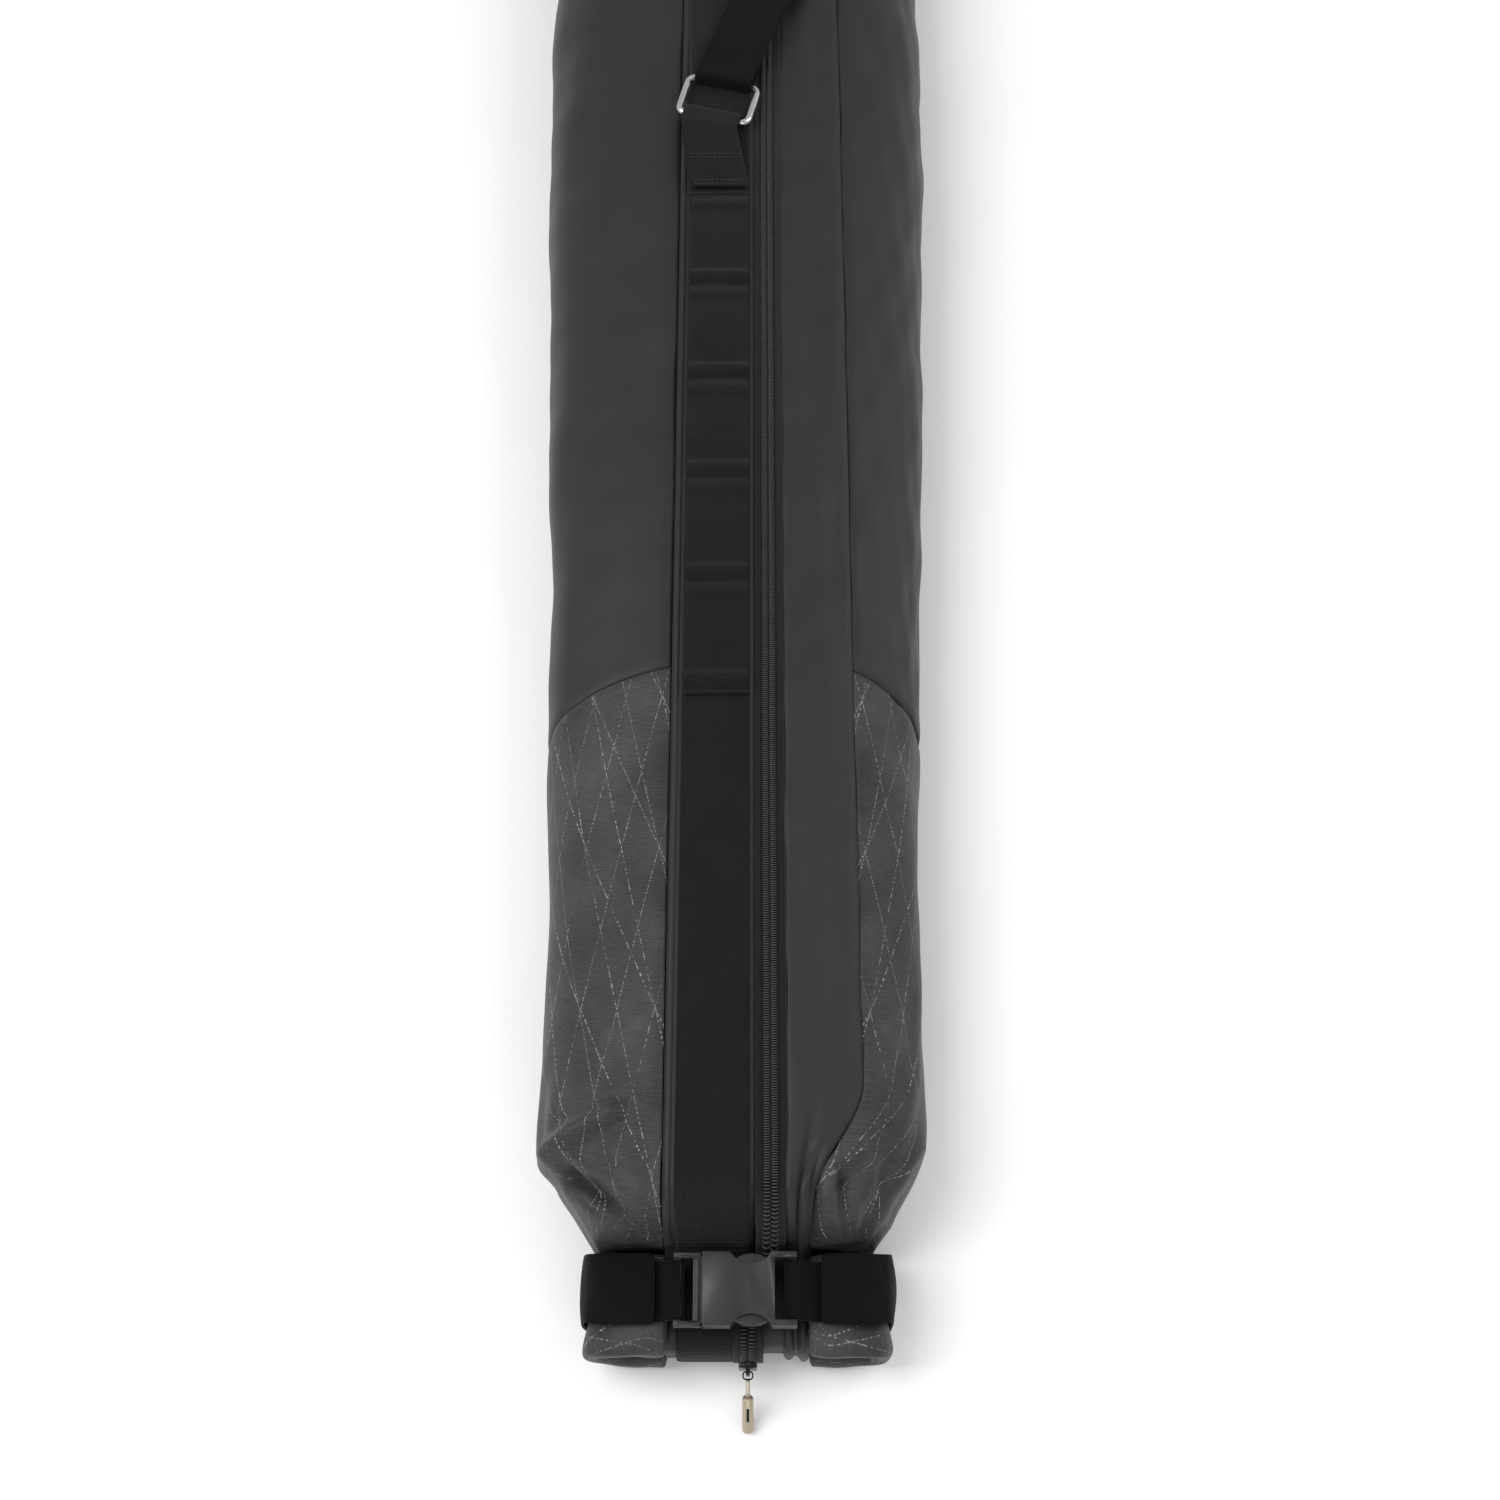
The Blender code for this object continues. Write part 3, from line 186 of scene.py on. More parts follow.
def calc(tree, kind, a, b=None, c=None):
    node = tree.nodes.new("ShaderNodeMath")
    node.operation = kind
    for k, v in enumerate((a, b, c)):
        if v is None:
            continue
        if isinstance(v, (int, float)):
            node.inputs[k].default_value = v
        else:
            tree.links.new(v, node.inputs[k])
    return node.outputs[0]


def newMaterial(name, colour, rough, metal=0.0, sheen=0.0, coat=0.0, specular=0.5):
    material = bpy.data.materials.new(name)
    material.use_nodes = True
    tree = material.node_tree
    shader = tree.nodes["Principled BSDF"]
    shader.inputs["Base Color"].default_value = (*colour, 1)
    shader.inputs["Roughness"].default_value = rough
    shader.inputs["Metallic"].default_value = metal
    shader.inputs["Sheen Weight"].default_value = sheen
    shader.inputs["Sheen Roughness"].default_value = 0.4
    shader.inputs["Coat Weight"].default_value = coat
    shader.inputs["Specular IOR Level"].default_value = specular * 0.8
    return material, tree, shader


def coords(tree, kind):
    """u, v in metres from the piece's own UV map, or object coordinates."""
    if kind == "uv":
        source = tree.nodes.new("ShaderNodeUVMap")
        source.uv_map = "cloth"
        return source.outputs[0]
    return tree.nodes.new("ShaderNodeTexCoord").outputs["Object"]


def noise(tree, vector, scale, detail=2.0, stretch=None):
    if stretch:
        mapping = tree.nodes.new("ShaderNodeMapping")
        mapping.inputs["Scale"].default_value = stretch
        tree.links.new(vector, mapping.inputs["Vector"])
        vector = mapping.outputs[0]
    node = tree.nodes.new("ShaderNodeTexNoise")
    node.inputs["Scale"].default_value = scale
    node.inputs["Detail"].default_value = detail
    tree.links.new(vector, node.inputs["Vector"])
    return node.outputs["Fac"]


def ramp(tree, value, low, high, dark, light):
    node = tree.nodes.new("ShaderNodeMapRange")
    node.inputs["From Min"].default_value = low
    node.inputs["From Max"].default_value = high
    node.inputs["To Min"].default_value = dark
    node.inputs["To Max"].default_value = light
    tree.links.new(value, node.inputs["Value"])
    return node.outputs[0]


def blendColour(tree, share, first, second):
    node = tree.nodes.new("ShaderNodeMix")
    node.data_type = "RGBA"
    if isinstance(share, float):
        node.inputs[0].default_value = share
    else:
        tree.links.new(share, node.inputs[0])
    for socket, value in ((node.inputs[6], first), (node.inputs[7], second)):
        if isinstance(value, tuple):
            socket.default_value = (*value, 1)
        else:
            tree.links.new(value, socket)
    return node.outputs[2]


def addBump(tree, shader, height, distance, strength=1.0, after=None):
    node = tree.nodes.new("ShaderNodeBump")
    node.inputs["Distance"].default_value = distance
    node.inputs["Strength"].default_value = strength
    tree.links.new(height, node.inputs["Height"])
    if after is not None:
        tree.links.new(after, node.inputs["Normal"])
    tree.links.new(node.outputs[0], shader.inputs["Normal"])
    return node.outputs[0]


def clothMaterial(name, colour, rough, pitch, depth, sheen=0.05, mottle=0.25):
    """Fine plain weave: threads both ways at the given pitch, with a soft uneven tone."""
    material, tree, shader = newMaterial(name, colour, rough, sheen=sheen, specular=0.35)
    at = coords(tree, "uv")
    split = tree.nodes.new("ShaderNodeSeparateXYZ")
    tree.links.new(at, split.inputs[0])
    turn = 2 * math.pi / pitch
    weft = calc(tree, "SINE", calc(tree, "MULTIPLY", split.outputs[0], turn))
    warp = calc(tree, "SINE", calc(tree, "MULTIPLY", split.outputs[1], turn))
    weave = calc(tree, "MULTIPLY", weft, warp)
    soft = noise(tree, at, 22.0, 3.0)
    fine = noise(tree, at, 900.0, 1.0)
    tone = calc(tree, "ADD", ramp(tree, soft, 0.3, 0.7, 1 - mottle, 1 + mottle),
                calc(tree, "MULTIPLY", fine, 0.1))
    bright = tuple(min(1.0, c * 1.35) for c in colour)
    dark = tuple(c * 0.75 for c in colour)
    share = calc(tree, "MULTIPLY", tone, 0.5)
    tree.links.new(blendColour(tree, share, dark, bright), shader.inputs["Base Color"])
    first = addBump(tree, shader, weave, depth)
    addBump(tree, shader, noise(tree, at, 60.0, 4.0), 0.0006, 0.5, first)
    return material


def laminateMaterial(name):
    """Heathered laminate: fine horizontal threads, and sparse dashed diagonal yarns in three headings."""
    material, tree, shader = newMaterial(name, (0.04, 0.04, 0.043), 0.52, sheen=0.06, specular=0.4)
    at = coords(tree, "uv")
    split = tree.nodes.new("ShaderNodeSeparateXYZ")
    tree.links.new(at, split.inputs[0])
    u, v = split.outputs[0], split.outputs[1]
    threads = noise(tree, at, 1.0, 3.0, (90.0, 1500.0, 1.0))
    heather = noise(tree, at, 1.0, 2.0, (260.0, 2600.0, 1.0))
    cloud = noise(tree, at, 14.0, 3.0)
    tone = calc(tree, "ADD", calc(tree, "MULTIPLY", threads, 0.65), calc(tree, "MULTIPLY", heather, 0.5))
    tone = calc(tree, "MULTIPLY", tone, ramp(tree, cloud, 0.3, 0.7, 0.75, 1.3))
    cloth = blendColour(tree, ramp(tree, tone, 0.35, 0.85, 0.0, 1.0), (0.0085, 0.0085, 0.0095),
                        (0.054, 0.054, 0.058))
    lines = None
    for heading, gap, shift, width in ((13, 0.027, 0.1, 0.00034), (-13, 0.027, 0.45, 0.00030),
                                       (24, 0.049, 0.2, 0.00045)):
        turn = math.radians(heading)
        across = calc(tree, "ADD", calc(tree, "MULTIPLY", u, math.cos(turn)),
                      calc(tree, "MULTIPLY", v, -math.sin(turn)))
        along = calc(tree, "ADD", calc(tree, "MULTIPLY", u, math.sin(turn)),
                     calc(tree, "MULTIPLY", v, math.cos(turn)))
        cell = calc(tree, "ADD", calc(tree, "MULTIPLY", across, 1 / gap), shift)
        off = calc(tree, "ABSOLUTE", calc(tree, "SUBTRACT", calc(tree, "FRACT", cell), 0.5))
        line = calc(tree, "LESS_THAN", calc(tree, "MULTIPLY", off, gap), width)
        row = calc(tree, "FLOOR", cell)
        mixer = tree.nodes.new("ShaderNodeCombineXYZ")
        tree.links.new(calc(tree, "MULTIPLY", along, 700.0), mixer.inputs[0])
        tree.links.new(calc(tree, "MULTIPLY", row, 7.3), mixer.inputs[1])
        dash = ramp(tree, noise(tree, mixer.outputs[0], 1.0, 1.0), 0.46, 0.60, 0.0, 1.0)
        fade = ramp(tree, noise(tree, at, 24.0, 1.0), 0.35, 0.60, 0.25, 1.0)
        line = calc(tree, "MULTIPLY", calc(tree, "MULTIPLY", line, dash), fade)
        lines = line if lines is None else calc(tree, "MAXIMUM", lines, line)
    tree.links.new(blendColour(tree, calc(tree, "MULTIPLY", lines, 0.90), cloth, (0.34, 0.34, 0.35)),
                   shader.inputs["Base Color"])
    rib = calc(tree, "SINE", calc(tree, "MULTIPLY", v, 2 * math.pi / 0.0011))
    first = addBump(tree, shader, rib, 0.00007)
    second = addBump(tree, shader, lines, 0.0004, 1.0, first)
    addBump(tree, shader, noise(tree, at, 45.0, 4.0), 0.0009, 0.6, second)
    return material


def webbingMaterial(name, colour, rib=0.0016, dots=True, gloss=0.3):
    """Ribbed webbing: rows across the strap, each broken into short threads, and a sparse dot pattern; its
    colour has a painted highlight on the rib crests and painted shade in the grooves.
    """
    material, tree, shader = newMaterial(name, colour, 0.66, sheen=gloss * 0.27, specular=gloss)
    at = coords(tree, "uv")
    split = tree.nodes.new("ShaderNodeSeparateXYZ")
    tree.links.new(at, split.inputs[0])
    u, v = split.outputs[0], split.outputs[1]
    rows = calc(tree, "SINE", calc(tree, "MULTIPLY", v, 2 * math.pi / rib))
    threads = calc(tree, "SINE", calc(tree, "MULTIPLY", u, 2 * math.pi / 0.0013))
    height = calc(tree, "ADD", rows, calc(tree, "MULTIPLY", threads, 0.45))
    mask = calc(tree, "MULTIPLY", calc(tree, "SINE", calc(tree, "MULTIPLY", u, 2 * math.pi / 0.0052)),
                calc(tree, "SINE", calc(tree, "MULTIPLY", v, 2 * math.pi / 0.0064)))
    dot = ramp(tree, mask, 0.72, 0.9, 0.0, 1.0)
    # painted light: the colour runs from a shaded copy of the webbing colour in the grooves to a lit copy on
    # the rib crests, and a patchy noise varies how much at random
    wearAndCrestHighlight = ramp(tree, noise(tree, at, 35.0, 4.0), 0.3, 0.75, 0.7, 1.5)
    light = tuple(c * 2.3 for c in colour)
    share = calc(tree, "MULTIPLY", ramp(tree, height, -1.2, 1.4, 0.1, 0.75), wearAndCrestHighlight)
    ribShadeTint = blendColour(tree, calc(tree, "MINIMUM", share, 1.0), tuple(c * 0.6 for c in colour), light)
    if dots:
        ribShadeTint = blendColour(tree, calc(tree, "MULTIPLY", dot, 0.85), ribShadeTint, tuple(c * 0.15 for c in colour))
        height = calc(tree, "SUBTRACT", height, calc(tree, "MULTIPLY", dot, 1.6))
    tree.links.new(ribShadeTint, shader.inputs["Base Color"])
    addBump(tree, shader, height, 0.00016)
    return material


def hardMaterial(name, colour, rough, metal=0.0, grain=0.0, grainSize=1200.0, coat=0.0):
    """Moulded or cast finish: fine grain in the surface and uneven gloss."""
    material, tree, shader = newMaterial(name, colour, rough, metal, coat=coat)
    at = coords(tree, "object")
    tree.links.new(ramp(tree, noise(tree, at, 90.0, 4.0), 0.3, 0.7, rough - 0.07, rough + 0.08),
                   shader.inputs["Roughness"])
    if grain:
        addBump(tree, shader, noise(tree, at, grainSize, 2.0), grain, 0.8)
    return material


smoothCloth = clothMaterial("smoothCloth", (0.0146, 0.0149, 0.0160), 0.50, 0.0009, 0.00003)
backCloth = clothMaterial("backCloth", (0.017, 0.017, 0.018), 0.60, 0.0012, 0.00005)
padCloth = clothMaterial("padCloth", (0.020, 0.020, 0.021), 0.66, 0.0016, 0.00010)
laminate = laminateMaterial("laminate")
webbing = webbingMaterial("webbing", (0.0038, 0.0038, 0.0041), 0.0012, gloss=0.22)
strapWeb = webbingMaterial("strapWebbing", (0.0017, 0.0017, 0.0019), 0.0017, False, gloss=0.12)
tapeCloth = webbingMaterial("tapeCloth", (0.0045, 0.0045, 0.0048), 0.0008, False)
threadLook = newMaterial("thread", (0.012, 0.012, 0.013), 0.45, sheen=0.3)[0]
toothLook = hardMaterial("toothPlastic", (0.034, 0.034, 0.036), 0.30)
buckleLook = hardMaterial("bucklePlastic", (0.0170, 0.0174, 0.0190), 0.38, grain=0.00018)
blackMetal = hardMaterial("blackMetal", (0.010, 0.010, 0.010), 0.28, 0.5)
steelLook = hardMaterial("satinSteel", (0.62, 0.62, 0.61), 0.26, 1.0, grain=0.00002, grainSize=700.0)
goldLook = hardMaterial("goldBarrel", (0.42, 0.36, 0.26), 0.36, 0.45, grain=0.00003)
creamLook = hardMaterial("creamStem", (0.50, 0.46, 0.37), 0.42)
# near-black material: painted shade for the hollow of the pull's slot
slotShadeLook = newMaterial("paintedSlotShade", (0.004, 0.004, 0.004), 0.9)[0]
print("materials made")


def finishMesh(name, mesh, material, body, stands):
    mesh.polygons.foreach_set("use_smooth", np.ones(len(mesh.polygons), bool))
    mesh.materials.append(material)
    item = bpy.data.objects.new(name, mesh)
    scene.collection.objects.link(item)
    if body:
        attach(item, body)
    if stands:
        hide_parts(*stands)
    return item


def gridMesh(name, points, uv, material, body="bag", stands=(), thick=0.0, flip=False):
    """Surface over a grid of points, rows by columns, with cloth coordinates in metres."""
    rows, cols = points.shape[:2]
    index = np.arange(rows * cols).reshape(rows, cols)
    faces = np.stack([index[:-1, :-1], index[:-1, 1:], index[1:, 1:], index[1:, :-1]], axis=-1).reshape(-1,
            4)
    if flip:
        faces = faces[:, ::-1]
    mesh = bpy.data.meshes.new(name)
    mesh.from_pydata(points.reshape(-1, 3).tolist(), [], faces.tolist())
    layer = mesh.uv_layers.new(name="cloth")
    layer.data.foreach_set("uv", uv.reshape(-1, 2)[faces.ravel()].astype(np.float32).ravel())
    item = finishMesh(name, mesh, material, body, stands)
    if thick:
        shell = item.modifiers.new("thickness", "SOLIDIFY")
        shell.thickness = thick
        shell.offset = -1.0
    return item


def lengthsOf(points, axis):
    """Running length of a grid of points along one of its axes."""
    step = np.linalg.norm(np.diff(points, axis=axis), axis=2)
    start = np.zeros_like(np.take(step, [0], axis=axis))
    return np.concatenate([start, np.cumsum(step, axis=axis)], axis=axis)


def clothUv(points, vAt=None):
    """u is the length across the piece and v the distance along the bag, or the running length."""
    u = lengthsOf(points, 1)
    v = lengthsOf(points, 0) if vAt is None else vAt
    return np.stack([u, v + 0 * u], axis=-1)


def repeatMesh(name, points, faces, places, across, along, up, material, body="bag", stands=()):
    """One small shape repeated at many places, each with its own three axes."""
    count = len(places)
    spread = (points[None, :, 0, None] * across[:, None] + points[None, :, 1, None] * along[:, None]
              + points[None, :, 2, None] * up[:, None] + places[:, None])
    every = (faces[None] + len(points) * np.arange(count)[:, None, None]).reshape(-1, faces.shape[1])
    mesh = bpy.data.meshes.new(name)
    mesh.from_pydata(spread.reshape(-1, 3).tolist(), [], every.tolist())
    return finishMesh(name, mesh, material, body, stands)


def smallTube(path, radii, sides=6, flatten=1.0):
    """Tube along a short path in the x, z plane of the repeated shape; its rings are sides points each."""
    path, radii = np.asarray(path, float), np.asarray(radii, float)
    tangent = np.gradient(path, axis=0)
    tangent /= np.linalg.norm(tangent, axis=1)[:, None]
    side = np.stack([-tangent[:, 1], tangent[:, 0]], axis=1)
    turn = np.linspace(0, 2 * math.pi, sides, endpoint=False)
    rings = np.zeros((len(path), sides, 3))
    rings[..., 0] = path[:, None, 0] + side[:, None, 0] * np.cos(turn) * radii[:, None]
    rings[..., 2] = path[:, None, 1] + side[:, None, 1] * np.cos(turn) * radii[:, None]
    rings[..., 1] = np.sin(turn) * radii[:, None] * flatten
    index = np.arange(len(path) * sides).reshape(len(path), sides)
    nextOne = np.roll(index, -1, axis=1)
    faces = np.stack([index[:-1], nextOne[:-1], nextOne[1:], index[1:]], axis=-1).reshape(-1, 4)
    return rings.reshape(-1, 3), faces


def panelGrid(side, sLow, sHigh, slantLow, slantHigh, rows, cols, seed):
    """Side panel: superellipse section swept along the bag, from the front seam (u 0) to the back seam (u 1),
    with slow ripples from the filling and edges that dip into the seams."""
    t, u = np.meshgrid(np.linspace(0, 1, rows), np.linspace(0, 1, cols), indexing="ij")
    low, high = sLow + slantLow * u, sHigh + slantHigh * u
    s = mix(low, high, t)
    seam = 0.0475 if side < 0 else rightSeam(s) + 0.0005
    front, back = seamAngle(s, seam), backSeamAngle(s)
    angle = mix(front, back, u)
    lean = angle if side > 0 else math.pi - angle
    girth = mix(0, 0.16, u)
    lift = 0.0016 * ripple(girth, s, 0.16, seed) + 0.0008 * ripple(girth, s * 0.6, 0.05, seed + 1)
    lift = lift + 0.0014 * ease(s, 0.32, 0.10) * ripple(girth * 1.5, s, 0.06, seed + 2)
    seams = np.exp(-((u * 0.16) / 0.0035) ** 2) + np.exp(-(((1 - u) * 0.16) / 0.004) ** 2)
    ends = np.exp(-((s - low) / 0.0035) ** 2) * (slantLow != 0) + np.exp(-((high - s) / 0.0035) ** 2)
    lift = lift - 0.0016 * np.minimum(seams + ends, 1.2)
    points = shellPoint(s, lean, lift)
    return points, s


for side, word in ((-1, "left"), (1, "right")):
    lowPoints, lowS = panelGrid(side, mouthS, 0.4835, 0.0, -0.045, 260, 90, 11 + side)
    # the crosswise seam dips about a tenth of the way down the side
    gridMesh(f"{word}LowerPanel", lowPoints, clothUv(lowPoints, lowS), laminate,
             stands=[f"{word}_lower_panel"],
                    thick=0.0018, flip=side > 0)
    highPoints, highS = panelGrid(side, 0.4845, capS, -0.045, 0.0, 420, 70, 31 + side)
    gridMesh(f"{word}UpperPanel", highPoints, clothUv(highPoints, highS), smoothCloth,
             stands=[f"{word}_upper_panel"],
                    thick=0.0018, flip=side > 0)

# back panel: the lower part of the same section, from seam to seam under the bag
t, u = np.meshgrid(np.linspace(0, 1, 300), np.linspace(0, 1, 80), indexing="ij")
s = mix(mouthS, capS, t)
edge = backSeamAngle(s) - 0.006
angle = mix(edge, -math.pi - edge, u)
girth = (u - 0.5) * 0.4
lift = 0.0008 * ripple(girth, s, 0.12, 5) * np.sin(math.pi
                                                   * u) - 0.0016 * np.exp(-((np.minimum(u, 1 - u) * 0.4)
                                                   / 0.004) ** 2)
backPoints = shellPoint(s, angle, lift)
gridMesh("backPanel", backPoints, clothUv(backPoints, s), backCloth, stands=["back_panel", "back_padding"],
         thick=0.002, flip=True)

# far end: rings of the last section that shrink to a point as a rounded cap
t, u = np.meshgrid(np.linspace(0, 1, 50), np.linspace(0, 1, 121), indexing="ij")
turn = t * math.pi / 2 * 0.999
ring = shellPoint(np.full_like(u, capS), 2 * math.pi * u)
centreZ = section(capS)[1]
shrink = np.cos(turn) ** 0.7
capPoints = ring.copy()
capPoints[..., 0] = ring[..., 0] * shrink
capPoints[..., 2] = centreZ + (ring[..., 2] - centreZ) * shrink
capPoints[..., 1] = rollY + capS + (capLength - 0.001) * np.sin(turn)
capPoints[..., 2] -= 0.0016 * np.exp(-(t * 0.09 / 0.004) ** 2)
gridMesh("farEnd", capPoints, clothUv(capPoints), smoothCloth, stands=["far_end_panel"],
         thick=0.0018, flip=True)
print("shell made")


# heights and distances of the path that every front strip follows over the roll
turn = np.radians(np.linspace(90, 180, 12))
rollPath = np.concatenate([
    [(0.0600, rollTop + 0.0004), (0.045, rollTop), (0.030, rollTop)],
    np.stack([rollRound + rollRound * np.cos(turn), rollTop - rollRound + rollRound * np.sin(turn)],
    axis=1),
    [(0, 0.030), (0, 0.024), (0.0002, 0.0185)]])
rollSteps = np.concatenate([[np.hypot(mouthS - 0.06, 0.003)],
                            np.linalg.norm(np.diff(rollPath, axis=0), axis=1)])
rollLength = rollSteps.sum()
rollRun = mouthS - np.cumsum(rollSteps)


def frontPoint(x, run, rise):
    """Place on the bag's front at x and run, rise above it; below the mouth the run goes over the roll.
    The height and distance come from the section there, and the way out from their slope along the bag."""
    def base(at):
        onShell = np.maximum(at, mouthS)
        shellZ = frontHeight(x, onShell) + foldLift(x, onShell) * 0.25
        overS = np.interp(at, rollRun[::-1], rollPath[::-1, 0])
        overZ = np.interp(at, rollRun[::-1], rollPath[::-1, 1])
        over = at < mouthS - 1e-6
        return np.where(over, overS, at), np.where(over, overZ, shellZ)
    s0, z0 = base(run)
    sA, zA = base(run + 0.0015)
    sB, zB = base(run - 0.0015)
    ds, dz = sA - sB, zA - zB
    size = np.hypot(ds, dz)
    return np.stack([x, rollY + s0 - dz / size * rise, z0 + ds / size * rise], axis=-1)


def rollShare(run):
    return ease(-run, -(mouthS - 0.006), -(mouthS - 0.052))


def zipLift(run):
    return 0.0042 * (1 - ease(run, mouthS, bulgeS))


runLow = mouthS - rollLength + 0.0005


def stripGrid(left, right, rise, runs, cols, edgeRound=0.0):
    """Strip between two x values that follows the front; its long edges turn down by edgeRound."""
    run, share = np.meshgrid(runs, np.linspace(0, 1, cols), indexing="ij")
    x = mix(left(run) if callable(left) else left, right(run) if callable(right) else right, share)
    lift = rise(run, share) if callable(rise) else rise + 0 * run
    lift = lift - edgeRound * np.abs(2 * share - 1) ** 14
    return frontPoint(x, run, lift), run


def runsFor(high, low, step):
    return np.linspace(high, low, int((high - low) / step))


bandRise = 0.0002


def bandWave(run, share):
    """Cloth beside the zip: flat on the bag, its edges dip into the seams, and it gathers near the roll."""
    dip = np.exp(-(share * 0.06 / 0.003) ** 2) + np.exp(-((1 - share) * 0.06 / 0.003) ** 2)
    wave = 0.0007 * ripple(share * 0.06, run * 0.7, 0.05, 71) + 0.0006 * ripple(share * 0.06, run * 0.2,
            0.03, 72)
    gather = ease(-run, -0.19, -0.08) * (0.0022 * np.sin(share * 9.5 + 0.9) + 0.0009
                                         * np.sin(share * 19.0 + run * 25))
    return bandRise - 0.0013 * dip + wave + gather * np.sin(math.pi * share) ** 0.5


runsAll = np.concatenate([runsFor(capS - 0.0005, 0.22, 0.004), runsFor(0.218, runLow, 0.0012)])
strips = {
    "webbingBacking": dict(edges=(leftSeamX + 0.0005, 0.0148), rise=bandRise - 0.0004, runs=runsAll,
    look=smoothCloth,
                           stands=["webbing_backing"], slot="charcoal_fabric", cols=12, thick=0.002),
    "zipSideBand": dict(edges=(zipX + 0.0108, lambda run: rightSeam(np.maximum(run, mouthS)) - 0.0005 + 0
    * run), rise=bandWave,
                        runs=runsAll, look=smoothCloth, stands=["zip_side_band"], slot="charcoal_fabric",
                        cols=50, thick=0.002),
    "frontWebbing": dict(edges=(webX - webWidth / 2, webX + webWidth / 2),
                         rise=lambda run, share: 0.0027 + 0.0002 * ripple(share * 0.05, run, 0.06, 81),
                         runs=runsAll,
                         look=webbing, stands=["front_webbing"], slot="black_webbing", cols=26,
                         thick=0.002, edge=0.0007),
    "zipTapeLeft": dict(edges=(lambda run: zipX - 0.0102 + zipDrift * rollShare(run), lambda run: zipX
    - 0.0003 + zipDrift * rollShare(run)),
                        rise=lambda run, share: 0.0001 + zipLift(run) - 0.0010 * share ** 3, runs=runsAll,
                        look=tapeCloth,
                        stands=["zip_tape_left"], slot="black_webbing", cols=8, thick=0.001),
    "zipTapeRight": dict(edges=(lambda run: zipX + 0.0003 + zipDrift * rollShare(run), lambda run: zipX
    + 0.0106 + zipDrift * rollShare(run)),
                         rise=lambda run, share: 0.0001 + zipLift(run) - 0.0010 * (1 - share) ** 3,
                         runs=runsAll, look=tapeCloth,
                         stands=["zip_tape_right"], slot="black_webbing", cols=8, thick=0.001),
}
for name, spec in strips.items():
    points, run = stripGrid(*spec["edges"], spec["rise"], spec["runs"], spec["cols"], spec.get("edge", 0.0))
    gridMesh(name, points, clothUv(points, run), spec["look"], stands=spec["stands"],
             thick=spec["thick"])

# covered piping beside the webbing: a half-round strip
run, turn = np.meshgrid(runsFor(capS - 0.001, mouthS + 0.004, 0.004), np.linspace(0, math.pi, 9),
                        indexing="ij")
points = frontPoint(leftSeamX + 0.0037 + 0.0029 * -np.cos(turn), run, 0.0003 + 0.0026 * np.sin(turn))
gridMesh("seamPiping", points, clothUv(points, run), smoothCloth, stands=["seam_piping"])

# the placket edges beside the zip, folded double, one each side
for word, left, right in (("Left", zipX - 0.0118, zipX - 0.0058), ("Right", zipX + 0.0058, zipX + 0.0128)):
    run, turn = np.meshgrid(runsFor(capS - 0.001, mouthS + 0.008, 0.004), np.linspace(0, math.pi, 11),
                            indexing="ij")
    middle, half = (left + right) / 2, (right - left) / 2
    points = frontPoint(middle - half * np.cos(turn), run, 0.0001 + 0.0016 * np.sin(turn) ** 0.5)
    gridMesh(f"zipEdge{word}", points, clothUv(points, run), tapeCloth)

# daisy webbing: a second strap tacked at even steps, rising between the tacks as a squared sine
firstTack, tackPitch, tackCount = 0.4620, 0.0918, 6
lastTack = firstTack + tackPitch * (tackCount - 1)


def daisyRise(run, share):
    phase = (run - firstTack) / tackPitch
    loop = np.abs(np.sin(math.pi * phase)) ** 0.9
    near = phase - np.floor(phase)
    ridge = np.exp(-((near - 0.10) / 0.05) ** 2) * 0.0030 + np.exp(-((near - 0.90) / 0.06) ** 2) * 0.0018
    return 0.0048 + 0.0026 * loop + ridge + 0.0002 * ripple(share * 0.05, run, 0.05, 91)


points, run = stripGrid(webX - 0.0242, webX + 0.0242, daisyRise,
                        runsFor(lastTack + 0.004, firstTack - 0.004, 0.0014), 22, 0.0006)
gridMesh("daisyWebbing", points, clothUv(points, run), webbing, stands=["daisy_webbing"],
         thick=0.0015)
print("front strips made")


def frameAt(x, run, rise):
    """Place and axes of a small shape lying on the front."""
    here = frontPoint(x, run, rise)
    ahead = frontPoint(x, run + 0.001, rise) - frontPoint(x, run - 0.001, rise)
    ahead /= np.linalg.norm(ahead, axis=1)[:, None]
    across = np.zeros_like(ahead)
    across[:, 0] = 1.0
    up = np.cross(across, ahead)
    up /= np.linalg.norm(up, axis=1)[:, None]
    return here, across, ahead, up


toothPitch = 0.00178
sliderRun = runLow + 0.014
for side, word in ((-1, "left"), (1, "right")):
    toothRuns = np.arange(sliderRun, capS - 0.036, toothPitch) + (toothPitch / 2 if side > 0 else 0.0)
    # a tooth: a thread that rises from the tape, runs to the middle and turns down in a fat head
    path = [(0.0050, 0.0004), (0.0049, 0.0018), (0.0038, 0.0027), (0.0018, 0.0027), (0.0006, 0.0017),
            (0.0004, 0.0006)]
    shape, faces = smallTube(path, [0.00052, 0.00056, 0.00056, 0.00060, 0.00074, 0.00060], 6, 0.92)
    if side < 0:
        shape[:, 0] *= -1
        faces = faces[:, ::-1]
    x = zipX + zipDrift * rollShare(toothRuns)
    here, across, ahead, up = frameAt(x, toothRuns, zipLift(toothRuns) + 0.0002)
    repeatMesh(f"zipTeeth{word.capitalize()}", shape, faces, here, across, ahead, up, toothLook,
               stands=[f"zip_coil_{word}"])

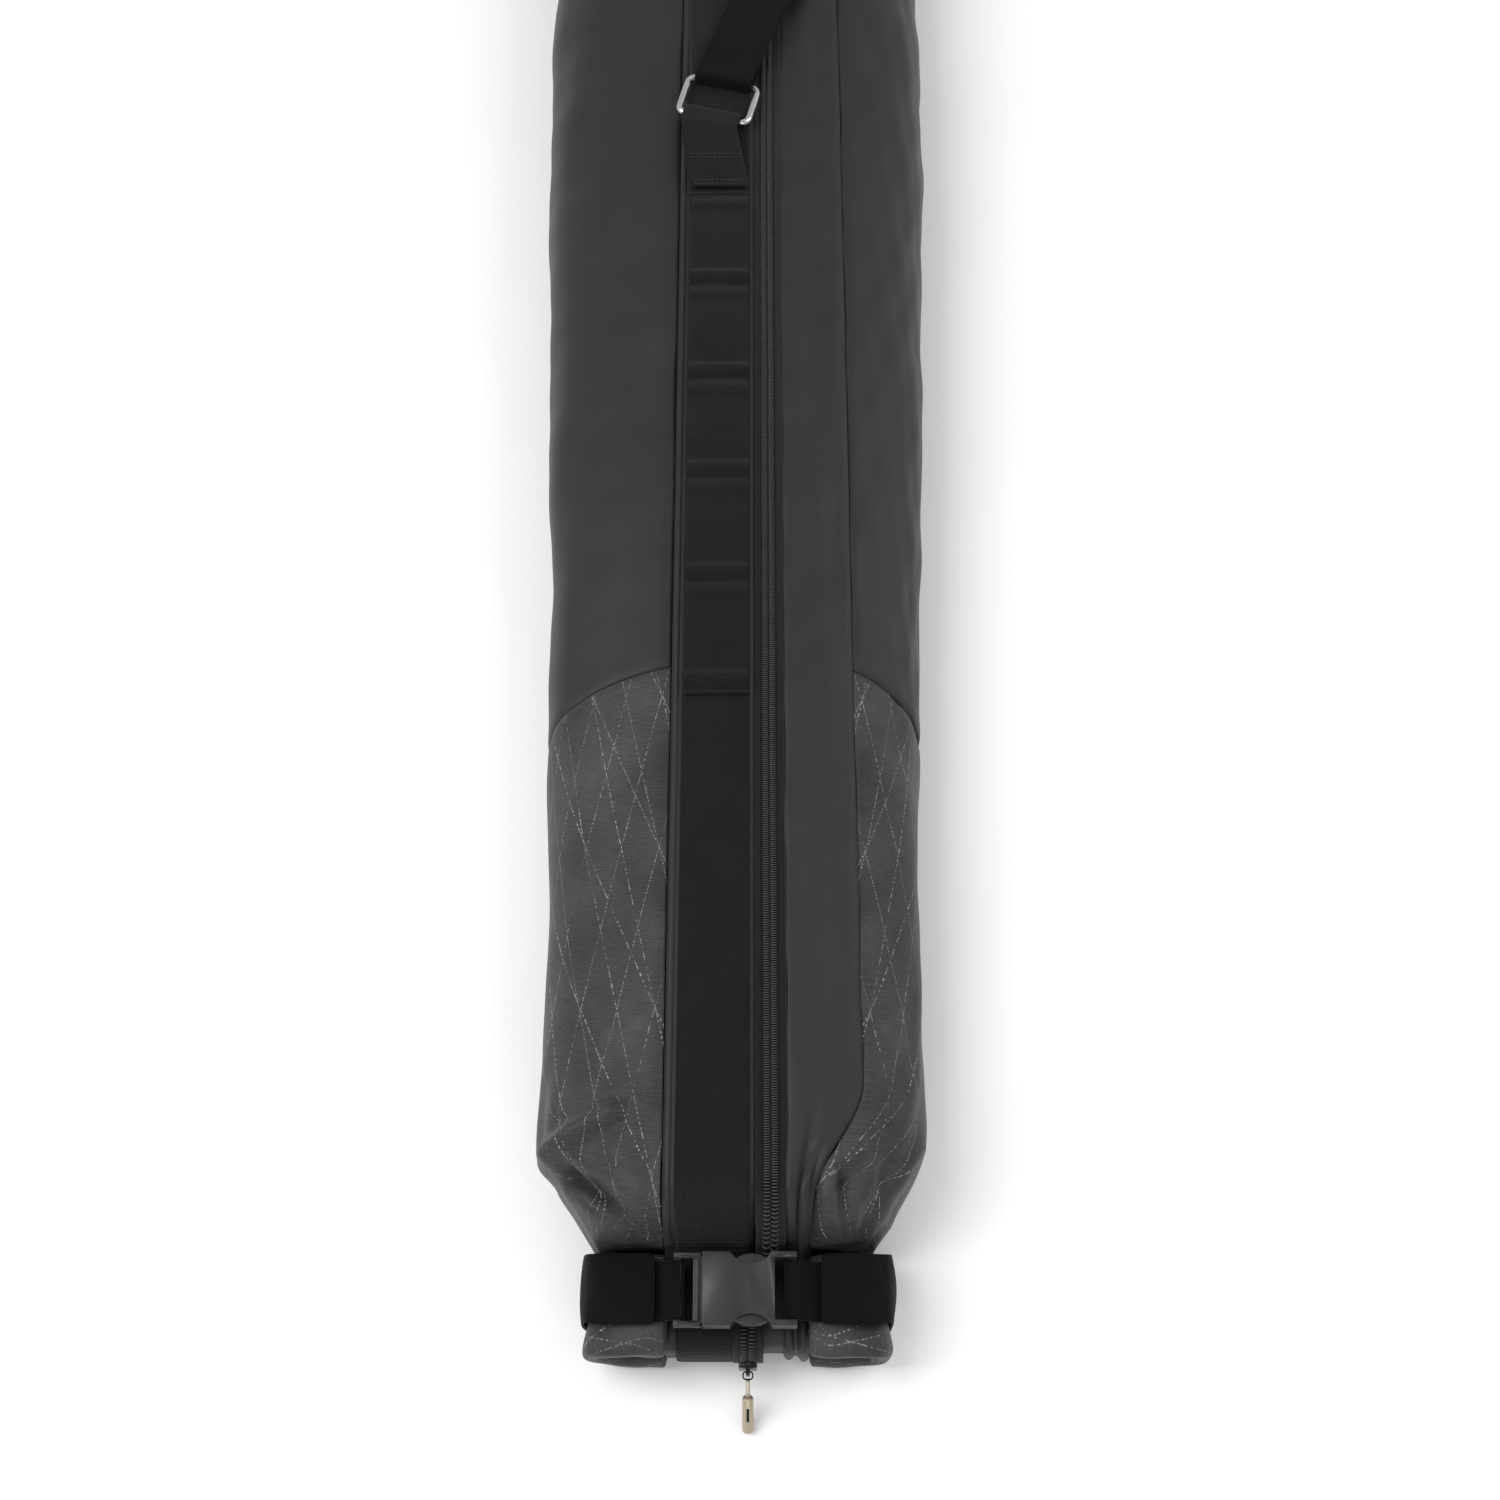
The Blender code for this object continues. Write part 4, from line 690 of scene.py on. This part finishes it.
# stitches: short fat threads set end to end
stitch, stitchFaces = smallTube([(-0.0013, -0.0002), (-0.0009, 0.0002), (0.0009, 0.0002),
                                 (0.0013, -0.0002)], [0.0001, 0.00027, 0.00027, 0.0001], 6)
longRuns = np.arange(mouthS + 0.012, capS - 0.006, 0.0034)
rows = [(webX - 0.0222, 0.0028, 0), (webX + 0.0222, 0.0028, 0), (zipX - 0.0098, 0.0018, 0),
        (zipX + 0.0108, 0.0019, 0),
        (zipX + 0.0150, 0.0004, 0), (0.0, 0.0006, 1)]
places, acrossAll, aheadAll, upAll = [], [], [], []
for x, rise, follow in rows:
    at = rightSeam(longRuns) - 0.0034 if follow else np.full_like(longRuns, x)
    here, across, ahead, up = frameAt(at, longRuns, rise)
    places.append(here)
    acrossAll.append(ahead)
    aheadAll.append(-across)
    upAll.append(up)
repeatMesh("seamStitches", stitch, stitchFaces, np.concatenate(places), np.concatenate(acrossAll),
           np.concatenate(aheadAll),
           np.concatenate(upAll), threadLook)

# bar tacks: close rows of thread across the daisy webbing at each tack
tackX, tackRun = [], []
for k in range(tackCount):
    for row in (-0.0012, 0.0, 0.0012):
        across = np.linspace(webX - 0.0185, webX + 0.0205, 20)
        tackX.append(across)
        tackRun.append(np.full_like(across, firstTack + tackPitch * k + row))
tackX, tackRun = np.concatenate(tackX), np.concatenate(tackRun)
here, across, ahead, up = frameAt(tackX, tackRun, 0.0054)
repeatMesh("barTacks", stitch, stitchFaces, here, across, ahead, up, threadLook)
print("zip teeth and stitches made")


def roundBox(turn, halfA, halfB, sharp):
    """Point of a superellipse at turn, with its half sizes."""
    cos, sin = np.cos(turn), np.sin(turn)
    return halfA * np.sign(cos) * np.abs(cos) ** (2 / sharp), halfB * np.sign(sin) * np.abs(sin) ** (2
            / sharp)


rollMidY, rollMidZ = rollY + 0.031, 0.028
# middle of the roll: a superellipse in y and z swept across the bag, with layers that bulge and a pinch
# beside the webbing
t, u = np.meshgrid(np.linspace(0, 1, 110), np.linspace(0, 1, 90), indexing="ij")
x = mix(-0.062, 0.070, t)
turn = u * 2 * math.pi
y, z = roundBox(turn, 0.0302, 0.0238, 4.2)
swell = 1 + 0.020 * np.sin(x * 130 + 1) - 0.16 * np.exp(-((x - 0.056) / 0.0045) ** 2) - 0.08 * np.exp(-((x
        + 0.046) / 0.003) ** 2)
points = np.stack([x, rollMidY + y * swell, rollMidZ + z * swell], axis=-1)
gridMesh("rollMiddle", points, clothUv(points), smoothCloth, stands=["roll_core", "roll_stiffener"],
         flip=False)


def bentTube(name, path, halfThick, halfWide, material, stands=(), twist=0.0, seed=1, sharp=3.2,
             body="bag", layers=0.0, flare=0.0, shift=0.0):
    """Flat fat tube along a path in the x, z plane: at each step a superellipse, its wide way along y.
    Creases run along it and its skin ripples."""
    path = np.asarray(path, float)
    steps = np.linspace(0, 1, len(path))
    fine = np.linspace(0, 1, 90)
    smooth = np.stack([np.interp(fine, steps, path[:, k]) for k in range(4)], axis=1)
    kernel = np.hanning(15) / np.hanning(15).sum()
    padded = np.pad(smooth, ((7, 7), (0, 0)), mode="edge")
    smooth = np.stack([np.convolve(padded[:, k], kernel, mode="valid") for k in range(4)], axis=1)
    tangent = np.gradient(smooth[:, :2], axis=0)
    tangent /= np.linalg.norm(tangent, axis=1)[:, None]
    normal = np.stack([-tangent[:, 1], tangent[:, 0]], axis=1)
    t, u = np.meshgrid(fine, np.linspace(0, 1, 80), indexing="ij")
    a, b = roundBox(u * 2 * math.pi, 1.0, 1.0, sharp)
    endRound = np.sqrt(np.clip(1 - np.clip((np.abs(2 * t - 1) - 0.93) / 0.07, 0, 1) ** 2, 0.0, 1))
    skin = 1 + 0.05 * ripple(t * 0.2, u * 0.2, 0.05, seed) + layers * np.sin(u * 2 * math.pi * 9 + t * 4)
    thick = halfThick * smooth[:, 2][:, None] * a * endRound * skin
    wide = halfWide * smooth[:, 3][:, None] * b * (0.55 + 0.45 * endRound) * (1 + (skin - 1) * 0.4)
    # the lip at the front flares out past the strap
    thick = thick + flare * ease(-b, 0.15, 1.0) * ease(np.abs(2 * t - 0.95), 0.75, 0.2)
    x = smooth[:, 0][:, None] + normal[:, 0][:, None] * thick
    z = smooth[:, 1][:, None] + normal[:, 1][:, None] * thick
    points = np.stack([x, rollMidY + shift + wide + twist * (t - 0.5), z], axis=-1)
    return gridMesh(name, points, clothUv(points), material, stands=stands,
                    body=body)


# each end of the roll is bent over on top of itself, leaving a hollow in the bend
lobePath = [(0.047, 0.0610, 0.75, 0.96), (0.060, 0.0612, 1.0, 1.0), (0.075, 0.0604, 1.0, 1.0),
            (0.0920, 0.0550, 0.95, 1.0),
            (0.0955, 0.0400, 0.95, 0.97), (0.0928, 0.0240, 1.05, 0.96), (0.080, 0.0155, 1.25, 0.98),
            (0.064, 0.0145, 1.3, 1.0),
            (0.048, 0.0165, 1.2, 1.0)]
for side, word in ((-1, "left"), (1, "right")):
    path = [(0.004 + side * a, b, c, d) for a, b, c, d in lobePath]
    bentTube(f"rollLobe{word.capitalize()}", path, 0.0088, 0.0342, laminate, stands=[f"roll_end_{word}"],
             seed=41 + side, layers=0.012, flare=side * 0.0055, shift=-0.0042)
    # inner layers seen in the hollow
    inner = [(0.004 + side * a, b, 1, 1) for a, b in ((0.052, 0.040), (0.062, 0.0445), (0.072, 0.043),
            (0.079, 0.037), (0.077, 0.030))]
    bentTube(f"rollLayer{word.capitalize()}", inner, 0.0032, 0.0270, laminate, seed=51 + side)
    core = [(0.004 + side * a, b, 1, 1) for a, b in ((0.050, 0.030), (0.058, 0.033), (0.066, 0.036),
            (0.072, 0.036))]
    bentTube(f"rollFold{word.capitalize()}", core, 0.0050, 0.0240, laminate, seed=61 + side)


def tabPoints(side):
    """Closure tab: a strap round the folded end, from the buckle side over the top, round and under."""
    path = np.array([(0.0560, 0.0718), (0.066, 0.0724), (0.080, 0.0723), (0.0930, 0.0714),
                     (0.1008, 0.0672), (0.1042, 0.0590),
                     (0.1052, 0.0460), (0.1050, 0.0300), (0.1032, 0.0150), (0.0970, 0.0050), (0.080,
                     0.0024)])
    steps = np.linspace(0, 1, len(path))
    fine = np.linspace(0, 1, 120)
    smooth = np.stack([np.interp(fine, steps, path[:, k]) for k in range(2)], axis=1)
    kernel = np.hanning(17) / np.hanning(17).sum()
    padded = np.pad(smooth, ((8, 8), (0, 0)), mode="edge")
    smooth = np.stack([np.convolve(padded[:, k], kernel, mode="valid") for k in range(2)], axis=1)
    tangent = np.gradient(smooth, axis=0)
    tangent /= np.linalg.norm(tangent, axis=1)[:, None]
    out = np.stack([-tangent[:, 1], tangent[:, 0]], axis=1)
    t, u = np.meshgrid(fine, np.linspace(-1, 1, 31), indexing="ij")
    bow = 0.0016 * (1 - u ** 2) + 0.0006 * ripple(t * 0.14, u * 0.02, 0.03, 101 + side)
    lean = -0.0030 * ease(t, 0.25, 0.6)
    y = rollY + 0.036 + 0.0228 * u * (1 + 0.02 * np.sin(t * 9)) - lean
    x = smooth[:, 0][:, None] + out[:, 0][:, None] * bow
    z = smooth[:, 1][:, None] + out[:, 1][:, None] * bow
    return np.stack([0.004 + side * x, y, z], axis=-1)


for side, word in ((-1, "left"), (1, "right")):
    points = tabPoints(side)
    gridMesh(f"closureTab{word.capitalize()}", points, clothUv(points), strapWeb,
             stands=[f"closure_tab_{word}"],
             thick=0.0022, flip=side < 0)
    # two rows of stitches near the tab's inner end
    at, row = np.meshgrid(np.linspace(-0.019, 0.019, 12), (0.0605, 0.0635), indexing="ij")
    here = np.stack([0.004 + side * row.ravel(), rollY + 0.036 + at.ravel(), np.full(at.size, 0.0738)],
                    axis=-1)
    one = np.ones((at.size, 1))
    repeatMesh(f"tabStitches{word.capitalize()}", stitch, stitchFaces, here, one * (0, 1, 0), one
               * (-1, 0, 0), one * (0, 0, 1), threadLook)
print("roll made")


def ribbonMesh(name, path, across, width, thick, material, stands, body="bag", steps=200,
               cols=17, soften=9, cup=0.0):
    """Webbing along a smoothed path; across is the strap's own width direction at each path point."""
    path, across = np.asarray(path, float), np.asarray(across, float)
    run = np.concatenate([[0], np.cumsum(np.linalg.norm(np.diff(path, axis=0), axis=1))])
    fine = np.linspace(0, run[-1], steps)
    line = np.stack([np.interp(fine, run, path[:, k]) for k in range(3)], axis=1)
    side = np.stack([np.interp(fine, run, across[:, k]) for k in range(3)], axis=1)
    half = soften // 2
    kernel = np.hanning(soften + 2)[1:-1]
    kernel /= kernel.sum()
    # reflect the ends so that they stay where they are
    grown = np.concatenate([2 * line[0] - line[half:0:-1], line, 2 * line[-1] - line[-2:-half - 2:-1]])
    line = np.stack([np.convolve(grown[:, k], kernel, mode="valid") for k in range(3)], axis=1)
    side /= np.linalg.norm(side, axis=1)[:, None]
    tangent = np.gradient(line, axis=0)
    normal = np.cross(tangent, side)
    normal /= np.linalg.norm(normal, axis=1)[:, None]
    share = np.linspace(-1, 1, cols)
    lift = cup * (1 - share ** 2) + 0.0002 * ripple(fine[:, None] + 0 * share, share * 0.02 + 0
                                                    * fine[:, None], 0.04, 7)
    lift = lift - 0.0004 * np.abs(share) ** 12
    points = line[:, None] + side[:, None] * share[None, :, None] * width / 2 + normal[:,
            None] * (lift[..., None] + thick / 2)
    uv = np.stack(np.broadcast_arrays(share[None] * width / 2 + 0 * fine[:, None], fine[:, None]), axis=-1)
    return gridMesh(name, points, uv, material, body=body, stands=stands, thick=thick)


ringBar, ringClear, ply = 0.0066, 0.0008, 0.0016


def hairpin(bar, along, tail, room, drop=0.0):
    """A ply that comes in under a bar, turns round it and goes back above it."""
    up = np.array([0, 0, 1.0])
    radius = ringBar / 2 + ringClear + ply / 2
    low, high = -radius, radius + room
    middle, half = (low + high) / 2, (high - low) / 2
    turn = np.radians(-90 - np.linspace(0, 180, 13))
    bend = bar + along * (radius * np.cos(turn))[:, None] + up * (middle + half * np.sin(turn))[:, None]
    start = [bar + along * tail + up * (low - drop), bar + along * 0.012 + up * low]
    return np.concatenate([start, bend, [bar + along * 0.012 + up * (high - 0.0003)]])


ringTurn, lean = math.radians(14), math.radians(19)
barOff = (0.034 + ringBar) / 2
ends = []
for word, s, sign in (("lower", 1.020, 1), ("upper", 1.690, -1)):
    low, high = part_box(f"ring_{word}")
    centre = np.array([-0.015, rollY + s, (low[2] + high[2]) / 2])
    along = np.array([math.sin(ringTurn), sign * math.cos(ringTurn), 0])
    across = np.array([math.cos(ringTurn), -sign * math.sin(ringTurn), 0])
    tabBar, strapBar = centre - along * barOff, centre + along * barOff
    tailEnd = tabBar - along * 0.056
    if word == "lower":
        tailEnd = np.array([webX, rollY + lastTack + 0.003, tabBar[2]])
    drop = tabBar[2] - ringBar / 2 - ringClear - ply / 2 - (float(frontHeight(tailEnd[0], tailEnd[1]
            - rollY)) + 0.0058)
    path = hairpin(tabBar, -along, 0.056, 0.0, drop)
    path[0, :2] = tailEnd[:2]
    path = np.concatenate([path, [path[0] + (0, sign * 0.004, ply + 0.0012)]])
    aside = np.broadcast_to(across * sign, path.shape).copy()
    aside[[0, -1]] = (sign, 0, 0)
    ribbonMesh(f"ringTab{word.capitalize()}", path, aside, 0.049, ply, webbing, [f"ring_tab_{word}"],
               soften=5)
    # box stitch across the tab's tail
    reach = tabBar[:2] - tailEnd[:2]
    reach = reach / np.linalg.norm(reach)
    out = np.array([0.006, 0.009, 0.030, 0.033])
    spots = np.zeros((len(out), 12, 3))
    spots[..., :2] = tailEnd[:2] + out[:, None, None] * reach + np.linspace(-0.020, 0.020, 12)[None, :,
            None] * (1.0, 0.0)
    barHigh = tabBar[2] + ringBar / 2 + ringClear + ply
    spots[..., 2] = np.interp(out, [0, 0.044], [path[-1, 2] + ply / 2 + 0.0003, barHigh])[:, None]
    spots = spots.reshape(-1, 3)
    one = np.ones((len(spots), 1))
    repeatMesh(f"ringTabStitches{word.capitalize()}", stitch, stitchFaces, spots, one * (1, 0, 0), one
               * (0, 1, 0),
               one * (0, 0, 1), threadLook)
    ends.append((strapBar, along, across))
(startBar, startAlong, startAcross), (endBar, endAlong, endAcross) = ends
padY = (startBar[1] + endBar[1]) / 2
padLow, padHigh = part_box("shoulder_pad")
padZ = (padLow[2] + padHigh[2]) / 2
high = ringBar / 2 + ringClear + ply / 2 + 0.0045
leave, arrive = np.array([math.sin(lean), math.cos(lean)]), np.array([math.sin(lean), -math.cos(lean)])
a, b = startBar[:2] + leave * 0.080, endBar[:2] + arrive * 0.080
padA, padB = np.array([0.048, padY - 0.150]), np.array([0.048, padY + 0.150])


def bezier(p0, d0, p1, d1):
    """Cubic curve from p0 heading d0 to p1 heading d1."""
    t = np.linspace(0, 1, 25)[:, None]
    reach = np.linalg.norm(p1 - p0) * 0.38
    return ((1 - t) ** 3 * p0 + 3 * (1 - t) ** 2 * t * (p0 + d0 * reach) + 3 * (1 - t) * t * t
            * (p1 - d1 * reach) + t ** 3 * p1)


ahead = np.array([0, 1.0])
flat = np.concatenate([[startBar[:2] + leave * 0.030], bezier(a, leave, padA, ahead),
                       np.linspace(padA, padB, 14)[1:-1],
                       bezier(padB, ahead, b, -arrive), [endBar[:2] + arrive * 0.030]])
near = ease(np.abs(flat[:, 1] - padY), 0.150, 0.200)
strapHigh = mix(startBar[2], endBar[2], ease(flat[:, 1], startBar[1], endBar[1])) + high
route = np.column_stack([flat, mix(padZ, strapHigh, near)])
first, last = hairpin(startBar, startAlong, 0.045, 0.0045), hairpin(endBar, endAlong, 0.045, 0.0045)[::-1]
path = np.concatenate([first, route, last])
slope = np.gradient(route, axis=0)
aside = np.concatenate([np.broadcast_to(startAcross, first.shape),
                        np.column_stack([slope[:, 1], -slope[:, 0], 0 * slope[:, 0]]),
                        np.broadcast_to(endAcross, last.shape)])
aside = aside / np.linalg.norm(aside, axis=1)[:, None]
ribbonMesh("shoulderStrap", path, aside, 0.050, ply, strapWeb, ["shoulder_strap"],
           steps=700, soften=5)

# shoulder pad: a puffed sleeve, a superellipse section along y with quilted rows across
t, u = np.meshgrid(np.linspace(0, 1, 130), np.linspace(0, 1, 73), indexing="ij")
turn = u * 2 * math.pi
a, b = roundBox(turn, 1.0, 1.0, 2.8)
endSlim = np.sqrt(np.clip(1 - np.clip((np.abs(2 * t - 1) - 0.90) / 0.10, 0, 1) ** 2, 0.02, 1))
quilt = 1 - 0.28 * np.exp(-((np.mod(t * 6, 1) - 0.5) / 0.06) ** 2) * (np.abs(a) < 0.85)
points = np.stack([0.048 + 0.0325 * a * (0.86 + 0.14 * endSlim), padY + (t - 0.5) * 0.238, padZ + 0.0058
                   * b * endSlim * quilt
                   + 0.0004 * ripple(t * 0.24, a * 0.03, 0.05, 3) * (np.abs(b) > 0.3)], axis=-1)
pad = gridMesh("shoulderPad", points, clothUv(points), padCloth, body="pad", stands=["shoulder_pad"],
               flip=True)

# short straps between the tabs and the buckle's two bars
for word in ("left", "right"):
    low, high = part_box(f"buckle_strap_{word}")
    lower, upper = np.array(low), np.array(high)
    midY = (lower[1] + upper[1]) / 2
    if word == "left":
        path = [(-0.0570, 0.0707), (-0.0515, 0.0712), (-0.0480, 0.0724), (-0.0430, 0.0780),
                (-0.0405, 0.0794), (-0.0350, 0.0794), (-0.0325, 0.0775), (-0.0315, 0.0735)]
    else:
        path = [(0.0640, 0.0707), (0.0590, 0.0716), (0.0540, 0.0750), (0.0482, 0.0784), (0.0455, 0.0794),
                (0.0380, 0.0794), (0.0355, 0.0775), (0.0346, 0.0735)]
        path = path[::-1]
    path = np.array([(x, midY, z) for x, z in path])
    # the left strap is attached to no body, and its transform is baked into its points
    short = ribbonMesh(f"buckleStrap{word.capitalize()}", path, np.broadcast_to((0, -1.0, 0), path.shape),
                       0.0395, 0.0016,
                       strapWeb, [f"buckle_strap_{word}"],
                       body="bag" if word == "right" else None,
                       steps=60, soften=5)
    if word == "left":
        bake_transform(short)
print("straps made")


def refine(name, material, bevel=0.0, subdivide=0):
    node = nodes[name]
    node.data.materials.clear()
    node.data.materials.append(material)
    weld = node.modifiers.new("weld", "WELD")
    weld.merge_threshold = 0.00002
    if bevel:
        edge = node.modifiers.new("edge", "BEVEL")
        edge.width = bevel
        edge.segments = 3
        edge.limit_method = "ANGLE"
        edge.angle_limit = math.radians(35)
        edge.harden_normals = True
    if subdivide:
        smooth = node.modifiers.new("smooth", "SUBSURF")
        smooth.levels = smooth.render_levels = subdivide
    node.data.polygons.foreach_set("use_smooth", np.ones(len(node.data.polygons), bool))
    node.data.update()


hardParts = {
    "buckle_female": (buckleLook, 0.0011, 0), "buckle_male": (buckleLook, 0.0007, 0),
    "buckle_prong_upper": (buckleLook, 0.0008, 0), "buckle_prong_lower": (buckleLook, 0.0008, 0),
    "zip_slider": (blackMetal, 0.0004, 0), "zip_end_stop": (blackMetal, 0.0004, 0),
    "pull_loop": (blackMetal, 0, 1),
    "ring_lower": (steelLook, 0, 2), "ring_upper": (steelLook, 0, 2), "strap_adjuster": (buckleLook,
    0.0008, 0),
    "pull_stem": (creamLook, 0, 0),
}
for name, (material, bevel, subdivide) in hardParts.items():
    refine(name, material, bevel, subdivide)

# zip pull's barrel: a turned profile, radius against distance along its axis, with a flat near-black quad on
# its face as painted shade for a slot
lug = np.array([0.0108, rollY - 0.0125, 0.03075])
pullLean = math.radians(52.758)
down = np.array([0, -math.sin(pullLean), -math.cos(pullLean)])
pullUp = np.array([0, -math.cos(pullLean), math.sin(pullLean)])
start = 0.0070 - 0.00065 + 0.0005 + 0.0120
distance = start + np.array([0, 0, 0.0004, 0.0010, 0.0016, 0.0250, 0.0258, 0.0263, 0.0265, 0.0265])
radius = np.array([0.0005, 0.0028, 0.0035, 0.0038, 0.0039, 0.0039, 0.0037, 0.0033, 0.0028, 0.0004])
turn = np.linspace(0, 2 * math.pi, 49)
ring = np.cos(turn)[:, None] * np.array([1.0, 0, 0]) + np.sin(turn)[:, None] * pullUp
points = lug + distance[:, None, None] * down + radius[:, None, None] * ring[None]
gridMesh("pullBarrel", points, clothUv(points), goldLook, body="pull", stands=["pull_barrel"],
         flip=True)
# the slot: a flat quad just over the barrel's face, painted near-black as the shade inside it
corner = np.array([[a, b] for a, b in ((-0.0009, 0.0070), (0.0009, 0.0070), (0.0009, 0.0170), (-0.0009,
        0.0170))])
slotPoints = (lug + (start + corner[:, 1])[:, None] * down + corner[:, :1] * np.array([1.0, 0, 0]) + pullUp
              * 0.00393)
slotShadeMesh = bpy.data.meshes.new("slotShadeQuad")
slotShadeMesh.from_pydata(slotPoints.tolist(), [], [(0, 1, 2, 3)])
finishMesh("slotShadeQuad", slotShadeMesh, slotShadeLook, "pull", ())

print("hard parts made")


floorMesh = bpy.data.meshes.new("floor")
floorMesh.from_pydata([(-8, -8, -0.0003), (8, -8, -0.0003), (8, 8, -0.0003), (-8, 8, -0.0003)], [],
                      [(0, 1, 2, 3)])
floor = bpy.data.objects.new("floor", floorMesh)
scene.collection.objects.link(floor)
floorMaterial = newMaterial("floorPaper", (0.92, 0.92, 0.92), 0.9, specular=0.1)[0]
floorMesh.materials.append(floorMaterial)
floor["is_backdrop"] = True

world = bpy.data.worlds.new("studio")
scene.world = world
world.use_nodes = True
world.node_tree.nodes["Background"].inputs[0].default_value = (1, 1, 1, 1)
world.node_tree.nodes["Background"].inputs[1].default_value = 0.55


def softbox(name, place, aim, size, power):
    data = bpy.data.lights.new(name, "AREA")
    data.shape = "RECTANGLE"
    data.size, data.size_y = size
    data.energy = power
    lamp = bpy.data.objects.new(name, data)
    scene.collection.objects.link(lamp)
    lamp.location = place
    way = np.array(aim, float) - np.array(place, float)
    lamp.rotation_euler = Vector(way).to_track_quat("-Z", "Y").to_euler()
    lamp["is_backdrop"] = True


softbox("keyLight", (-1.6, -0.6, 2.4), (0, -0.3, 0), (1.2, 2.4), 58)
softbox("rimLight", (2.0, 0.4, 1.8), (0, -0.2, 0), (1.0, 2.6), 26)
softbox("lowLight", (0.2, -2.6, 1.2), (0, -0.8, 0.05), (1.8, 0.6), 10)

camera = bpy.data.objects.new("camera", bpy.data.cameras.new("camera"))
scene.collection.objects.link(camera)
camera.location = (0.0123, -1.096, 1.399)
camera.rotation_euler = (math.radians(25.5), 0, 0)
camera.data.lens = 45.8
scene.camera = camera

low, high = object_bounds()
